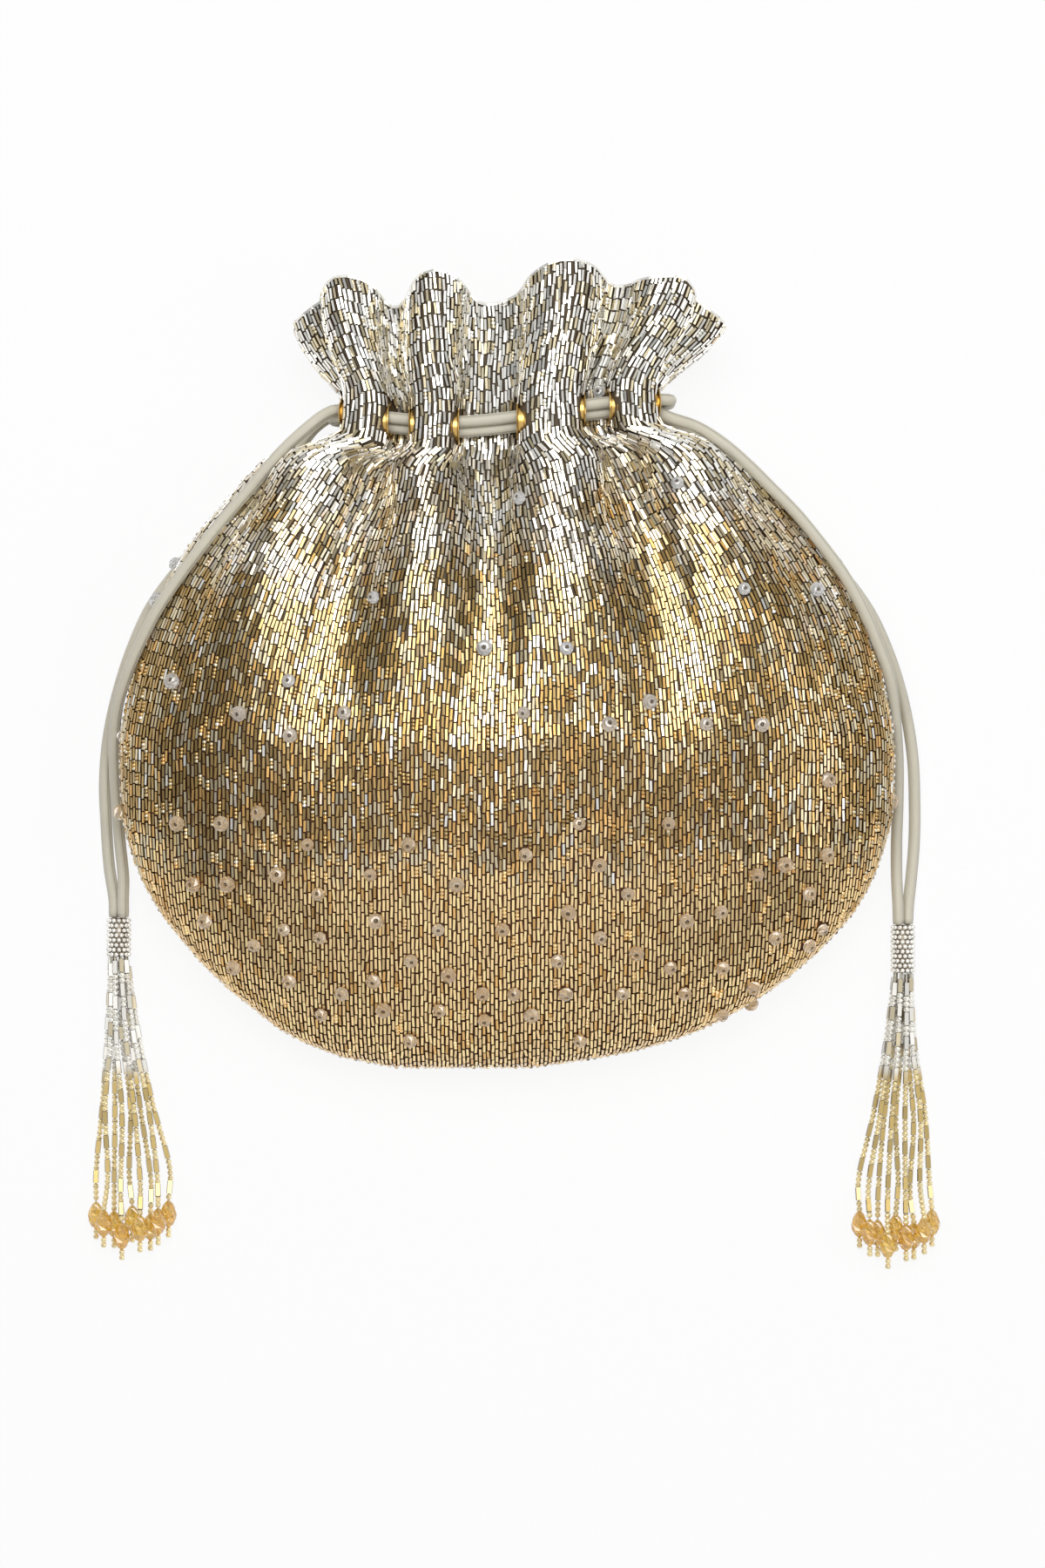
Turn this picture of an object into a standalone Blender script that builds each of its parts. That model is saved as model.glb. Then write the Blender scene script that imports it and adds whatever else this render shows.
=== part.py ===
"""A beaded drawstring pouch that lies on its back: two gathered panels, a lining,
sixteen eyelets, two drawstrings and two bead tassels. Metres, +Z up, +Y to the mouth."""

import math

import bmesh
import bpy
from mathutils import Matrix, Vector

# Driving sizes of the pouch
BAG_WIDTH = 0.220
BODY_LENGTH = 0.1848  # from the drawstring line down to the bottom seam
NECK_WIDTH = 0.085
NECK_Y = 0.0714  # the height of the drawstring line in the frame
RUFFLE_WIDTH = 0.1222
CLOTH = 0.0016  # a panel's beaded cloth
LINING_CLOTH = 0.0005
FRONT_DEPTH = 0.031  # how far the filled front stands out from the seam
BACK_DEPTH = 0.018
NECK_DEPTH = 0.0115  # half the thickness of the gathered neck, at the drawstrings
MOUTH_DEPTH = 0.0145
MOUTH_LIFT = 0.0012  # how much higher than the neck the middle of the mouth lies
SEAM_HEIGHT = 0.0155  # the side seam above the floor, at the belly
NECK_HEIGHT = 0.020  # the middle of the neck above the floor
FOLD_HEIGHT = 0.0065  # a fold at the neck, from the drawstring line to its crest
MOUTH_FOLD_HEIGHT = 0.0045

# Driving sizes of the hardware
CORD_DIAMETER = 0.0034
EYELET_BORE = 0.0083
EYELET_WALL = 0.0003
FLANGE_WIDTH = 0.0009
FLANGE_THICKNESS = 0.0005
EYELET_SIDES = 10
COLLAR_DIAMETER = 0.0074
STRAND_DIAMETER = 0.0012
DROP_DIAMETER = 0.0048
DROP_LENGTH = 0.0078
END_BEAD_DIAMETER = 0.0017

# Clearances
GAP = 0.0003  # between pieces that touch
LINING_GAP = 0.0015  # between the lining and the panels' inner faces

# The side outline below the neck: share of the way down, share of the way out from
# the neck's edge to the bag's edge.
SIDE_LINE = [
    (0.0, 0.0), (0.034, 0.012), (0.047, 0.12), (0.062, 0.28), (0.076, 0.374),
    (0.13, 0.526), (0.214, 0.73), (0.33, 0.893), (0.411, 0.955), (0.514, 1.0),
    (0.601, 0.993), (0.682, 0.94), (0.752, 0.847), (0.812, 0.714), (0.861, 0.576),
    (0.908, 0.403), (0.943, 0.247), (0.963, 0.114), (0.982, -0.06), (1.0, -0.35),
]
# The ruffle's side outline: share of the way up to the mouth, share of the flare.
FLARE_LINE = [(0.0, 0.0), (0.15, 0.04), (0.34, 0.29), (0.57, 0.62), (0.83, 0.885), (1.0, 1.0)]
# The middle of the bag sways from side to side: place down the bag, share of its width.
# A place is the share of the way down, and above the neck it is negative.
RUFFLE_SPAN = -0.2
MIDDLE_LINE = [
    (RUFFLE_SPAN, 0.0034), (0.0, -0.0084), (0.3, 0.0), (0.75, 0.0), (0.9, -0.0114),
    (0.963, -0.03), (1.0, -0.0582),
]
# The drawstring line rises and dips across the neck: share of the half width, and the
# rise as a share of the neck's width.
NECK_RISE = [
    (-0.9, 0.0118), (-0.58, -0.0265), (-0.23, -0.0382), (0.08, -0.0206), (0.55, 0.0235),
    (0.88, 0.0412),
]
RISE_FADE = [(RUFFLE_SPAN, 0.0), (-0.04, 1.0), (0.04, 1.0), (0.2, 0.0)]
# Depth shares of front and back, and the fold's height and sharpness down the bag.
FRONT_FILL = [
    (0.0, 0.0), (0.03, 0.02), (0.076, 0.16), (0.13, 0.34), (0.2, 0.55), (0.32, 0.82), (0.5, 1.0),
]
BACK_FILL = [(0.0, 0.0), (0.05, 0.2), (0.1, 0.5), (0.2, 0.85), (0.5, 1.0)]
SEAM_FALL = [(0.0, 0.0), (0.2, 0.45), (0.5, 1.0), (1.0, 1.5)]
FOLD_FADE = [
    (0.0, 1.0), (0.03, 1.0), (0.08, 0.9), (0.14, 0.74), (0.22, 0.56), (0.32, 0.37),
    (0.42, 0.18), (0.52, 0.05), (0.62, 0.0),
]
SHARPNESS = [
    (RUFFLE_SPAN, 0.2), (-0.1, 0.35), (-0.035, 1.0), (0.03, 1.0), (0.08, 0.3), (0.2, 0.1),
]
ROUNDNESS = [(RUFFLE_SPAN, 2.6), (-0.03, 3.0), (0.03, 3.0), (0.08, 2.3), (0.15, 2.0)]
BELLY = 0.5  # the fullest place down the bag
BOTTOM_CURVE = 2.4

# The eyelets across a panel, as shares of the neck ring's half width. The cloth goes
# in front of the drawstrings between the first and second, third and fourth, and so on.
EYELET_SHARES = [-0.8755, -0.661, -0.498, -0.263, 0.119, 0.461, 0.645, 0.869]
# How far the mouth's edge stands above the neck at each side seam, crest and trough.
FRONT_MOUTH = [0.0265, 0.0385, 0.0303, 0.0398, 0.031, 0.0428, 0.0363, 0.0385, 0.0265]
BACK_MOUTH = [0.0265, 0.029, 0.026, 0.029, 0.026, 0.029, 0.026, 0.029, 0.0265]
HOLE_REACH = 0.0022  # an eyelet's hole is cut this far past its flanges
FLANK_SWAY = 0.0009  # how far a fold's flank leaves its eyelet's plane
NARROW_STEPS = 4
WIDE_STEPS = 6
WIDE_SHARE = 0.3  # a fold wider than this share of the neck gets more columns
ROWS = [
    1.0, 0.985, 0.955, 0.91, 0.85, 0.77, 0.66, 0.53, 0.41, 0.3, 0.205, 0.14, 0.095,
    0.068, 0.046, 0.03, 0.0,
]
RUFFLE_ROWS = [0.14, 0.5, 1.0]
HEM = 0.0015  # the straight strip of a panel along its seam

LINING_ROWS = [0.17, 0.25, 0.35, 0.48, 0.6, 0.7, 0.79, 0.86, 0.91, 0.945]
LINING_TUCK = 0.06  # how much sooner the lining closes than the panels, below the belly
LINING_STEPS = 12

# The free ends of the drawstrings, from the neck to the tassel, as the cord lies: how far
# out from the bag's side outline at that height, then Y and Z.
LEFT_FRONT_TAIL = [
    (0.0079, 0.0726, 0.0280), (0.0155, 0.0665, 0.0293), (0.0019, 0.0590, 0.0299),
    (-0.0019, 0.0503, 0.0288), (-0.0024, 0.0425, 0.0280), (-0.0031, 0.0338, 0.0278),
    (-0.0020, 0.0250, 0.0266), (-0.0005, 0.0160, 0.0251), (0.0009, 0.0070, 0.0224),
    (0.0025, -0.0020, 0.0192), (0.0036, -0.0110, 0.0151), (0.0034, -0.0200, 0.0108),
    (0.0035, -0.0300, 0.0070), (0.0035, -0.0400, 0.0046), (0.0048, -0.0500, 0.0038),
    (0.0074, -0.0600, 0.0042), (0.0112, -0.0670, 0.0050),
]
LEFT_BACK_TAIL = [
    (0.0076, 0.0729, 0.0116), (0.0125, 0.0700, 0.0094), (0.0161, 0.0656, 0.0060),
    (0.0034, 0.0602, 0.0034), (-0.0013, 0.0545, 0.0027), (-0.0004, 0.0470, 0.0028),
    (0.0002, 0.0370, 0.0040), (0.0018, 0.0280, 0.0060), (0.0034, 0.0180, 0.0075),
    (0.0042, 0.0060, 0.0075), (0.0053, -0.0070, 0.0058), (0.0059, -0.0200, 0.0035),
    (0.0070, -0.0330, 0.0022), (0.0076, -0.0450, 0.0020), (0.0104, -0.0570, 0.0020),
    (0.0140, -0.0670, 0.0021),
]
RIGHT_FRONT_TAIL = [
    (0.0043, 0.0712, 0.0252), (0.0112, 0.0686, 0.0268), (0.0147, 0.0637, 0.0283),
    (0.0015, 0.0578, 0.0274), (0.0007, 0.0515, 0.0261), (0.0012, 0.0440, 0.0250),
    (0.0004, 0.0355, 0.0244), (0.0011, 0.0265, 0.0234), (0.0014, 0.0175, 0.0223),
    (0.0020, 0.0080, 0.0202), (0.0031, -0.0025, 0.0174), (0.0027, -0.0140, 0.0122),
    (0.0029, -0.0260, 0.0072), (0.0035, -0.0380, 0.0045), (0.0051, -0.0490, 0.0036),
    (0.0090, -0.0600, 0.0040), (0.0144, -0.0690, 0.0050),
]
RIGHT_BACK_TAIL = [
    (0.0039, 0.0708, 0.0150), (0.0088, 0.0690, 0.0128), (0.0134, 0.0660, 0.0082),
    (0.0066, 0.0615, 0.0042), (-0.0018, 0.0550, 0.0028), (-0.0009, 0.0470, 0.0028),
    (-0.0003, 0.0370, 0.0040), (0.0023, 0.0280, 0.0060), (0.0044, 0.0170, 0.0075),
    (0.0056, 0.0040, 0.0072), (0.0067, -0.0100, 0.0050), (0.0075, -0.0250, 0.0030),
    (0.0086, -0.0390, 0.0021), (0.0106, -0.0500, 0.0020), (0.0134, -0.0600, 0.0020),
    (0.0175, -0.0690, 0.0021),
]
CORD_STEP = 0.0078  # about two and a third diameters between the cord's points
NECK_CORD_STEP = 0.006
CORD_END = 0.0005  # a short last step, so that a cord's end face is square to it
SIDE_TUCK = 0.0035  # how far the outer drawstring's turn is pulled in at the right side
EYELET_STUB = 0.0028  # how far a drawstring's held stretch reaches past its last eyelet

# The tassels: the middle of each collar's top face, given as a cord's point is, its
# length, and the drops' places.
LEFT_COLLAR = (0.0159, -0.0718, 0.00375)
LEFT_COLLAR_LENGTH = 0.0112
RIGHT_COLLAR = (0.0196, -0.0738, 0.00375)
RIGHT_COLLAR_LENGTH = 0.0138
COLLAR_ROWS = 4
COLLAR_GROOVE = 0.0003
STRAND_RING = 0.00255  # the strands leave the collar on a ring of this radius
FLOOR_STRANDS = [200, 235, 270, 305, 340]  # turns on that ring, in degrees
TOP_STRANDS = [150, 110, 70, 30]
DROP_SPACING = 0.00525
LEFT_FAN = 0.0038  # how far the middle of the drops lies to the side of the collar
RIGHT_FAN = -0.0020
LEFT_REACH = 0.0750  # from the collar's end to the middle of the drops
RIGHT_REACH = 0.0730
FLOOR_STAGGER = [0.0, -0.0026, -0.001, -0.0034, 0.0004]
TOP_STAGGER = [-0.002, -0.0056, -0.0034, -0.0014]
# A strand: share of its length, and how far it has come down to what it lies on.
STRAND_SAG = [(0.0, 0.0), (0.3, 0.55), (0.6, 0.95), (0.88, 0.9)]
# A drop and the bead under it: share of the length along it, share of the radius.
DROP_SHAPE = [(0.5, 0.2), (0.25, 0.85), (-0.12, 1.0), (-0.5, 0.3)]
BEAD_SHAPE = [(0.0, 1.0), (-1.0, 0.45)]


def clear_scene():
    for item in list(bpy.data.objects):
        bpy.data.objects.remove(item, do_unlink=True)


def make_material(name, color, roughness, metallic):
    material = bpy.data.materials.new(name)
    material.use_nodes = True
    shader = material.node_tree.nodes["Principled BSDF"]
    shader.inputs["Base Color"].default_value = (*color, 1.0)
    shader.inputs["Roughness"].default_value = roughness
    shader.inputs["Metallic"].default_value = metallic
    return material


def link(item, material):
    bpy.context.scene.collection.objects.link(item)
    item.data.materials.append(material)
    return item


def mesh_object(name, shape, material, smooth_angle=math.radians(40)):
    """Makes an object of a bmesh, with its faces turned out."""
    bmesh.ops.recalc_face_normals(shape, faces=shape.faces)
    mesh = bpy.data.meshes.new(name)
    shape.to_mesh(mesh)
    shape.free()
    mesh.shade_smooth()
    mesh.set_sharp_from_angle(angle=smooth_angle)
    return link(bpy.data.objects.new(name, mesh), material)


def smooth_between(points, at):
    """Reads a list of (place, value) pairs as a curve that never overshoots."""
    if at <= points[0][0]:
        return points[0][1]
    if at >= points[-1][0]:
        return points[-1][1]
    slopes = [
        (b[1] - a[1]) / (b[0] - a[0]) for a, b in zip(points[:-1], points[1:])
    ]
    turns = [slopes[0]]
    for before, after in zip(slopes[:-1], slopes[1:]):
        same_way = before * after > 0
        turns.append(2 * before * after / (before + after) if same_way else 0.0)
    turns.append(slopes[-1])
    last = max(i for i, point in enumerate(points[:-1]) if point[0] <= at)
    (x0, y0), (x1, y1) = points[last], points[last + 1]
    span = x1 - x0
    t = (at - x0) / span
    rise = (3 - 2 * t) * t * t
    start = turns[last] * span * t * (1 - t) ** 2
    end = turns[last + 1] * span * t * t * (1 - t)
    return y0 + (y1 - y0) * rise + start - end


def half_width(place):
    """The bag's half width at a place down the bag."""
    neck = NECK_WIDTH / 2
    if place >= 0:
        return neck + (BAG_WIDTH / 2 - neck) * smooth_between(SIDE_LINE, place)
    flare = smooth_between(FLARE_LINE, place / RUFFLE_SPAN)
    return neck + (RUFFLE_WIDTH / 2 - neck) * flare


def fold_height(place):
    if place >= 0:
        return FOLD_HEIGHT * smooth_between(FOLD_FADE, place)
    up = place / RUFFLE_SPAN
    return FOLD_HEIGHT + (MOUTH_FOLD_HEIGHT - FOLD_HEIGHT) * up


def side_fold_height(place):
    """The trough at the side seam, which opens out towards the mouth."""
    return fold_height(place) * (1 - max(0.0, place / RUFFLE_SPAN))


def seam_height(place):
    if place < 0:
        return NECK_HEIGHT + MOUTH_LIFT * place / RUFFLE_SPAN
    return NECK_HEIGHT + (SEAM_HEIGHT - NECK_HEIGHT) * smooth_between(SEAM_FALL, place)


def depth(place, front):
    """How far a panel's middle line stands off the seam, folds left out."""
    if place < 0:
        return NECK_DEPTH + (MOUTH_DEPTH - NECK_DEPTH) * place / RUFFLE_SPAN
    full, fill = (FRONT_DEPTH, FRONT_FILL) if front else (BACK_DEPTH, BACK_FILL)
    out = NECK_DEPTH + (full - NECK_DEPTH) * smooth_between(fill, place)
    down = max(0.0, (place - BELLY) / (1 - BELLY))
    return out * math.sqrt(max(0.0, 1 - down**BOTTOM_CURVE))


def middle_line(place):
    return BAG_WIDTH * smooth_between(MIDDLE_LINE, place)


def ring_width(place):
    return half_width(place) + side_fold_height(place)


def eyelet_turns():
    """The turn of each eyelet round the neck ring, from the right side seam."""
    power = smooth_between(ROUNDNESS, 0.0) / 2
    return [
        math.acos(math.copysign(abs(share) ** power, share)) for share in EYELET_SHARES
    ]


def on_ring(place, turn, front):
    """A point of the middle line at that place, and the way out from it, in X and Z."""
    wide, deep = ring_width(place), depth(place, front)
    power = smooth_between(ROUNDNESS, place)
    across = math.copysign(abs(math.cos(turn)) ** (2 / power), math.cos(turn))
    out = abs(math.sin(turn)) ** (2 / power)
    normal = Vector(
        (
            math.copysign(abs(across) ** (power - 1), across) / wide,
            0,
            out ** (power - 1) / max(deep, CLOTH),
        )
    ).normalized()
    point = Vector((middle_line(place) + wide * across, 0, deep * out))
    return point, normal


def rise(place, x):
    """How far the rows near the neck follow the drawstring line up or down."""
    share = (x - middle_line(0.0)) / ring_width(0.0)
    return NECK_WIDTH * smooth_between(NECK_RISE, share) * smooth_between(RISE_FADE, place)


def to_frame(point, place, height, front):
    """Stands a point of a panel in the frame, at its height along the bag."""
    side = 1 if front else -1
    z = seam_height(place) + side * (GAP / 2 + point.z)
    return Vector((point.x, height + rise(place, point.x), max(z, CLOTH / 2)))


def fold_steps():
    """Each column of a panel, from the left side seam to the right one: the number of
    its fold, the turns where that fold starts and ends, and its share between them."""
    turns = eyelet_turns()
    turns = [2 * math.pi - turns[0], *turns, -turns[-1]]
    shares = [-1.0, *EYELET_SHARES, 1.0]
    columns = []
    for fold in range(len(turns) - 1):
        at_side = fold in (0, len(turns) - 2)
        wide = not at_side and shares[fold + 1] - shares[fold] > WIDE_SHARE
        steps = WIDE_STEPS if wide else NARROW_STEPS
        first = steps // 2 if fold == 0 else 0
        last = steps // 2 + 1 if fold == len(turns) - 2 else steps
        for step in range(first, last):
            columns.append((fold, turns[fold], turns[fold + 1], step / steps))
    return columns


def panel_point(column, place, up, front):
    """A point of a panel's middle surface; up is the share of the way to the mouth."""
    fold, start, end, share = column
    spacing = abs(math.cos(start) - math.cos(end)) * ring_width(0.0)
    flank = max(1.0, math.log2(max(spacing, 2 * FLANK_SWAY) / (2 * FLANK_SWAY)))
    sharp = smooth_between(SHARPNESS, place)
    power = 1 + (flank - 1) * sharp
    if share <= 0.5:
        eased = 0.5 * (2 * share) ** power
    else:
        eased = 1 - 0.5 * (2 - 2 * share) ** power
    point, normal = on_ring(place, start + (end - start) * eased, front)
    at_side = fold in (0, len(EYELET_SHARES))
    tall = side_fold_height(place) if at_side else fold_height(place)
    crest = 1 if fold % 2 else -1
    point += normal * (crest * tall * math.sin(math.pi * share))
    if abs(eased - 0.5) < 1e-9 and at_side:
        point.z = 0.0
    mouth = FRONT_MOUTH if front else BACK_MOUTH
    sweep = math.sin(math.pi * min(share, 1 - share)) / 2
    edge = mouth[min(fold, len(mouth) - 1)]
    other = mouth[max(fold - 1, 0)] if share < 0.5 else mouth[min(fold + 1, len(mouth) - 1)]
    top = edge + (other - edge) * (0.5 - sweep)
    height = NECK_Y - place * BODY_LENGTH if place >= 0 else NECK_Y + up * top
    return to_frame(point, place, height, front)


def rows_of_panel():
    """(place down the bag, share of the way up the ruffle) of each row."""
    return [(row, 0.0) for row in ROWS] + [(up * RUFFLE_SPAN, up) for up in RUFFLE_ROWS]


def panel(name, front, material):
    """One gathered panel of beaded cloth, with a straight hem along the side seams."""
    columns = fold_steps()
    hem = Vector((0, 0, HEM if front else -HEM))
    shape = bmesh.new()
    grid = []
    for number, (place, up) in enumerate(rows_of_panel()):
        row = [panel_point(column, place, up, front) for column in columns]
        lifted = range(len(row)) if number == 0 else (0, len(row) - 1)
        for i in lifted:
            row[i] += hem
        grid.append([shape.verts.new(point) for point in row])
    for lower, upper in zip(grid[:-1], grid[1:]):
        for i in range(len(lower) - 1):
            shape.faces.new((lower[i], lower[i + 1], upper[i + 1], upper[i]))
    edge = [row[0] for row in reversed(grid)] + grid[0][1:-1] + [row[-1] for row in grid]
    seam = [shape.verts.new(vert.co - hem) for vert in edge]
    for i in range(len(edge) - 1):
        shape.faces.new((edge[i], edge[i + 1], seam[i + 1], seam[i]))
    result = mesh_object(name, shape, material)
    thicken = result.modifiers.new("cloth", "SOLIDIFY")
    thicken.thickness = CLOTH
    thicken.offset = 0.0
    return result


def lathe(shape, profile, place, steps, closed):
    """Turns a profile of (along, radius) pairs about the Z axis of a placing matrix."""
    rings = []
    for along, radius in profile:
        ring = []
        for step in range(steps):
            turn = 2 * math.pi * step / steps
            point = Vector((radius * math.cos(turn), radius * math.sin(turn), along))
            ring.append(shape.verts.new(place @ point))
        rings.append(ring)
    pairs = list(zip(rings[:-1], rings[1:]))
    if closed:
        pairs.append((rings[-1], rings[0]))
    else:
        shape.faces.new(rings[0])
        shape.faces.new(rings[-1])
    for one, two in pairs:
        for i in range(steps):
            j = (i + 1) % steps
            shape.faces.new((one[i], one[j], two[j], two[i]))


def eyelet_place(turn, front):
    """The matrix that stands an eyelet on its fold's flank, its axis along the neck."""
    point, normal = on_ring(0.0, turn, front)
    side = 1 if front else -1
    axis = Vector((normal.z, 0, -side * normal.x))
    placed = to_frame(point, 0.0, NECK_Y, front)
    up = Vector((0, 1, 0))
    turned = Matrix((up.cross(axis), up, axis)).transposed()
    return Matrix.Translation(placed) @ turned.to_4x4()


def eyelet_profile(grow):
    """Half thicknesses and radii of an eyelet, grown all round by a clearance."""
    inner = CLOTH / 2 + GAP - grow
    outer = CLOTH / 2 + GAP + FLANGE_THICKNESS + grow
    barrel = EYELET_BORE / 2 + EYELET_WALL + grow
    rim = EYELET_BORE / 2 + EYELET_WALL + FLANGE_WIDTH + grow
    return inner, outer, barrel, rim


def eyelet(name, place, material):
    """A grommet: a short barrel with a flange on each face of the cloth."""
    inner, outer, barrel, rim = eyelet_profile(0.0)
    bore = EYELET_BORE / 2
    profile = [
        (-outer, bore), (-outer, rim), (-inner, rim), (-inner, barrel), (inner, barrel),
        (inner, rim), (outer, rim), (outer, bore),
    ]
    shape = bmesh.new()
    lathe(shape, profile, place, EYELET_SIDES, True)
    return mesh_object(name, shape, material, math.radians(50))


def cut_eyelet_holes(cloth, places):
    """Cuts a panel clear of its eyelets' barrels and flanges."""
    shape = bmesh.new()
    inner, outer, barrel, rim = eyelet_profile(GAP)
    reach = outer + HOLE_REACH
    profile = [
        (-reach, barrel), (-outer, barrel), (-outer, rim), (-inner, rim),
        (-inner, barrel), (inner, barrel), (inner, rim), (outer, rim), (outer, barrel),
        (reach, barrel),
    ]
    for place in places:
        lathe(shape, profile, place, EYELET_SIDES, False)
    bmesh.ops.recalc_face_normals(shape, faces=shape.faces)
    mesh = bpy.data.meshes.new(cloth.name + "_holes")
    shape.to_mesh(mesh)
    shape.free()
    cutter = bpy.data.objects.new(cloth.name + "_holes", mesh)
    bpy.context.scene.collection.objects.link(cutter)
    cutter.hide_render = True
    cutter.display_type = "WIRE"
    cut = cloth.modifiers.new("eyelet holes", "BOOLEAN")
    cut.operation = "DIFFERENCE"
    cut.solver = "EXACT"
    cut.object = cutter


def lining(name, material):
    """The pouch inside: one bag of thin cloth, sewn in below the drawstrings."""
    shape = bmesh.new()
    rings = []
    for place in LINING_ROWS:
        inset = fold_height(place) + CLOTH / 2 + LINING_GAP + LINING_CLOTH / 2
        floor = CLOTH + LINING_GAP + LINING_CLOTH / 2
        height = NECK_Y - place * BODY_LENGTH
        place += LINING_TUCK * max(0.0, place - BELLY)
        ring = []
        for step in range(2 * LINING_STEPS):
            front = step <= LINING_STEPS
            turn = math.pi * (step / LINING_STEPS)
            point, normal = on_ring(place, turn, front)
            point -= Vector((normal.x, 0, normal.z)) * inset
            if step % LINING_STEPS == 0:
                point.z = 0.0
            placed = to_frame(point, place, height, front)
            placed.z = max(placed.z, floor)
            ring.append(shape.verts.new(placed))
        rings.append(ring)
    count = 2 * LINING_STEPS
    for one, two in zip(rings[:-1], rings[1:]):
        for i in range(count):
            j = (i + 1) % count
            shape.faces.new((one[i], one[j], two[j], two[i]))
    bottom = rings[-1]
    for i in range(LINING_STEPS):
        corners = (bottom[i], bottom[i + 1], bottom[-i - 1], bottom[-i % count])
        shape.faces.new(dict.fromkeys(corners))
    result = mesh_object(name, shape, material)
    thicken = result.modifiers.new("cloth", "SOLIDIFY")
    thicken.thickness = LINING_CLOTH
    thicken.offset = 0.0
    return result


def smooth_route(points, fine=16):
    """A smooth line through a route's points, with many points of its own."""
    points = [Vector(p) for p in points]
    ends = [2 * points[0] - points[1], *points, 2 * points[-1] - points[-2]]
    line = []
    for a, b, c, d in zip(ends[:-3], ends[1:-2], ends[2:-1], ends[3:]):
        knots = [0.0]
        for one, two in ((a, b), (b, c), (c, d)):
            knots.append(knots[-1] + max((two - one).length, 1e-6) ** 0.5)
        for step in range(fine):
            t = knots[1] + (knots[2] - knots[1]) * step / fine
            ab = a.lerp(b, (t - knots[0]) / (knots[1] - knots[0]))
            bc = b.lerp(c, (t - knots[1]) / (knots[2] - knots[1]))
            cd = c.lerp(d, (t - knots[2]) / (knots[3] - knots[2]))
            abc = ab.lerp(bc, (t - knots[0]) / (knots[2] - knots[0]))
            bcd = bc.lerp(cd, (t - knots[1]) / (knots[3] - knots[1]))
            line.append(abc.lerp(bcd, (t - knots[1]) / (knots[2] - knots[1])))
    line.append(points[-1])
    return line


def lengths_along(line):
    along = [0.0]
    for one, two in zip(line[:-1], line[1:]):
        along.append(along[-1] + (two - one).length)
    return along


def stretch(line, start, end, step):
    """Evenly spaced points of a line between two lengths along it."""
    along = lengths_along(line)
    count = max(2, round((end - start) / step) + 1)
    places = [start + (end - start) * k / (count - 1) for k in range(count)]
    places.insert(1, start + CORD_END)
    places.insert(-1, end - CORD_END)
    points = []
    for at in places:
        i = max(j for j in range(len(along) - 1) if along[j] <= at + 1e-12)
        points.append(line[i].lerp(line[i + 1], (at - along[i]) / (along[i + 1] - along[i])))
    return points


def tube(name, points, diameter, material, sides=8, radii=None):
    """A cord as a curve with a round section, closed at both ends."""
    curve = bpy.data.curves.new(name, "CURVE")
    curve.dimensions = "3D"
    curve.bevel_depth = diameter / 2
    curve.bevel_resolution = (sides - 4) // 2
    curve.use_fill_caps = True
    spline = curve.splines.new("POLY")
    spline.points.add(len(points) - 1)
    for i, point in enumerate(points):
        spline.points[i].co = (*point, 1.0)
        spline.points[i].radius = radii[i] if radii else 1.0
    spline.use_smooth = True
    return link(bpy.data.objects.new(name, curve), material)


def held_route(outward, from_left):
    """A drawstring's way through all sixteen eyelets and round the far side.
    The two drawstrings lie side by side in each eyelet, one outward of the other."""
    apart = (CORD_DIAMETER + GAP) / 2
    lean = math.radians(45)
    turns = eyelet_turns()
    if not from_left:
        turns = turns[::-1]
    past = 0.0 if from_left else math.pi
    halfway = (turns[-1] + past) / 2
    stops = [(turn, True) for turn in turns]
    stops += [(halfway, True), (past, True), (halfway, False)]
    stops += [(turn, False) for turn in reversed(turns)]
    route = []
    for turn, front in stops:
        point, normal = on_ring(0.0, turn, front)
        if turn == past:
            point = Vector((point.x - (SIDE_TUCK if outward > 0 else 0.0), 0, 0))
        placed = to_frame(point, 0.0, NECK_Y, front)
        if turn == past:
            placed.z = NECK_HEIGHT
        side = 1 if front else -1
        away = Vector((normal.x, 0, side * normal.z))
        up = Vector((0, 1, 0))
        offset = away * math.cos(lean) + up * math.sin(lean)
        route.append(placed + offset * (outward * apart))
    return route


def beside_bag(point, side):
    """The place in the frame of a point that is measured from the bag's side outline."""
    offset, y, z = point
    edge = half_width(max((NECK_Y - y) / BODY_LENGTH, RUFFLE_SPAN))
    out = edge + offset
    return Vector((-out if side == "left" else out, y, z))


def drawstring(side, outward, front_tail, back_tail, collar, material):
    """One drawstring, in three nodes: what the eyelets hold and the two free ends."""
    held = held_route(outward, side == "left")
    ends = [beside_bag(collar, side) + offset for offset in tail_end_offsets(side)]
    route = [ends[0], *[beside_bag(p, side) for p in reversed(front_tail)], *held]
    route += [*[beside_bag(p, side) for p in back_tail], ends[1]]
    line = smooth_route(route)
    along = lengths_along(line)
    fine = (len(line) - 1) // (len(route) - 1)
    first = along[(1 + len(front_tail)) * fine]
    last = along[(len(front_tail) + len(held)) * fine]
    start, end = first - EYELET_STUB, last + EYELET_STUB
    tube(
        f"drawstring_{side}_held",
        stretch(line, start, end, NECK_CORD_STEP), CORD_DIAMETER, material,
    )
    front = stretch(line, GAP, start - GAP, CORD_STEP)
    tube(f"drawstring_{side}_front_tail", front[::-1], CORD_DIAMETER, material)
    back = stretch(line, end + GAP, along[-1] - GAP, CORD_STEP)
    tube(f"drawstring_{side}_back_tail", back, CORD_DIAMETER, material)


def tail_end_offsets(side):
    """Where the two ends meet the collar's top face, one lying over the other."""
    lean = math.radians(40)
    half = (CORD_DIAMETER + GAP) / 2
    inward = 1 if side == "left" else -1
    over = Vector((inward * half * math.cos(lean), 0, half * math.sin(lean)))
    return over, -over


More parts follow.
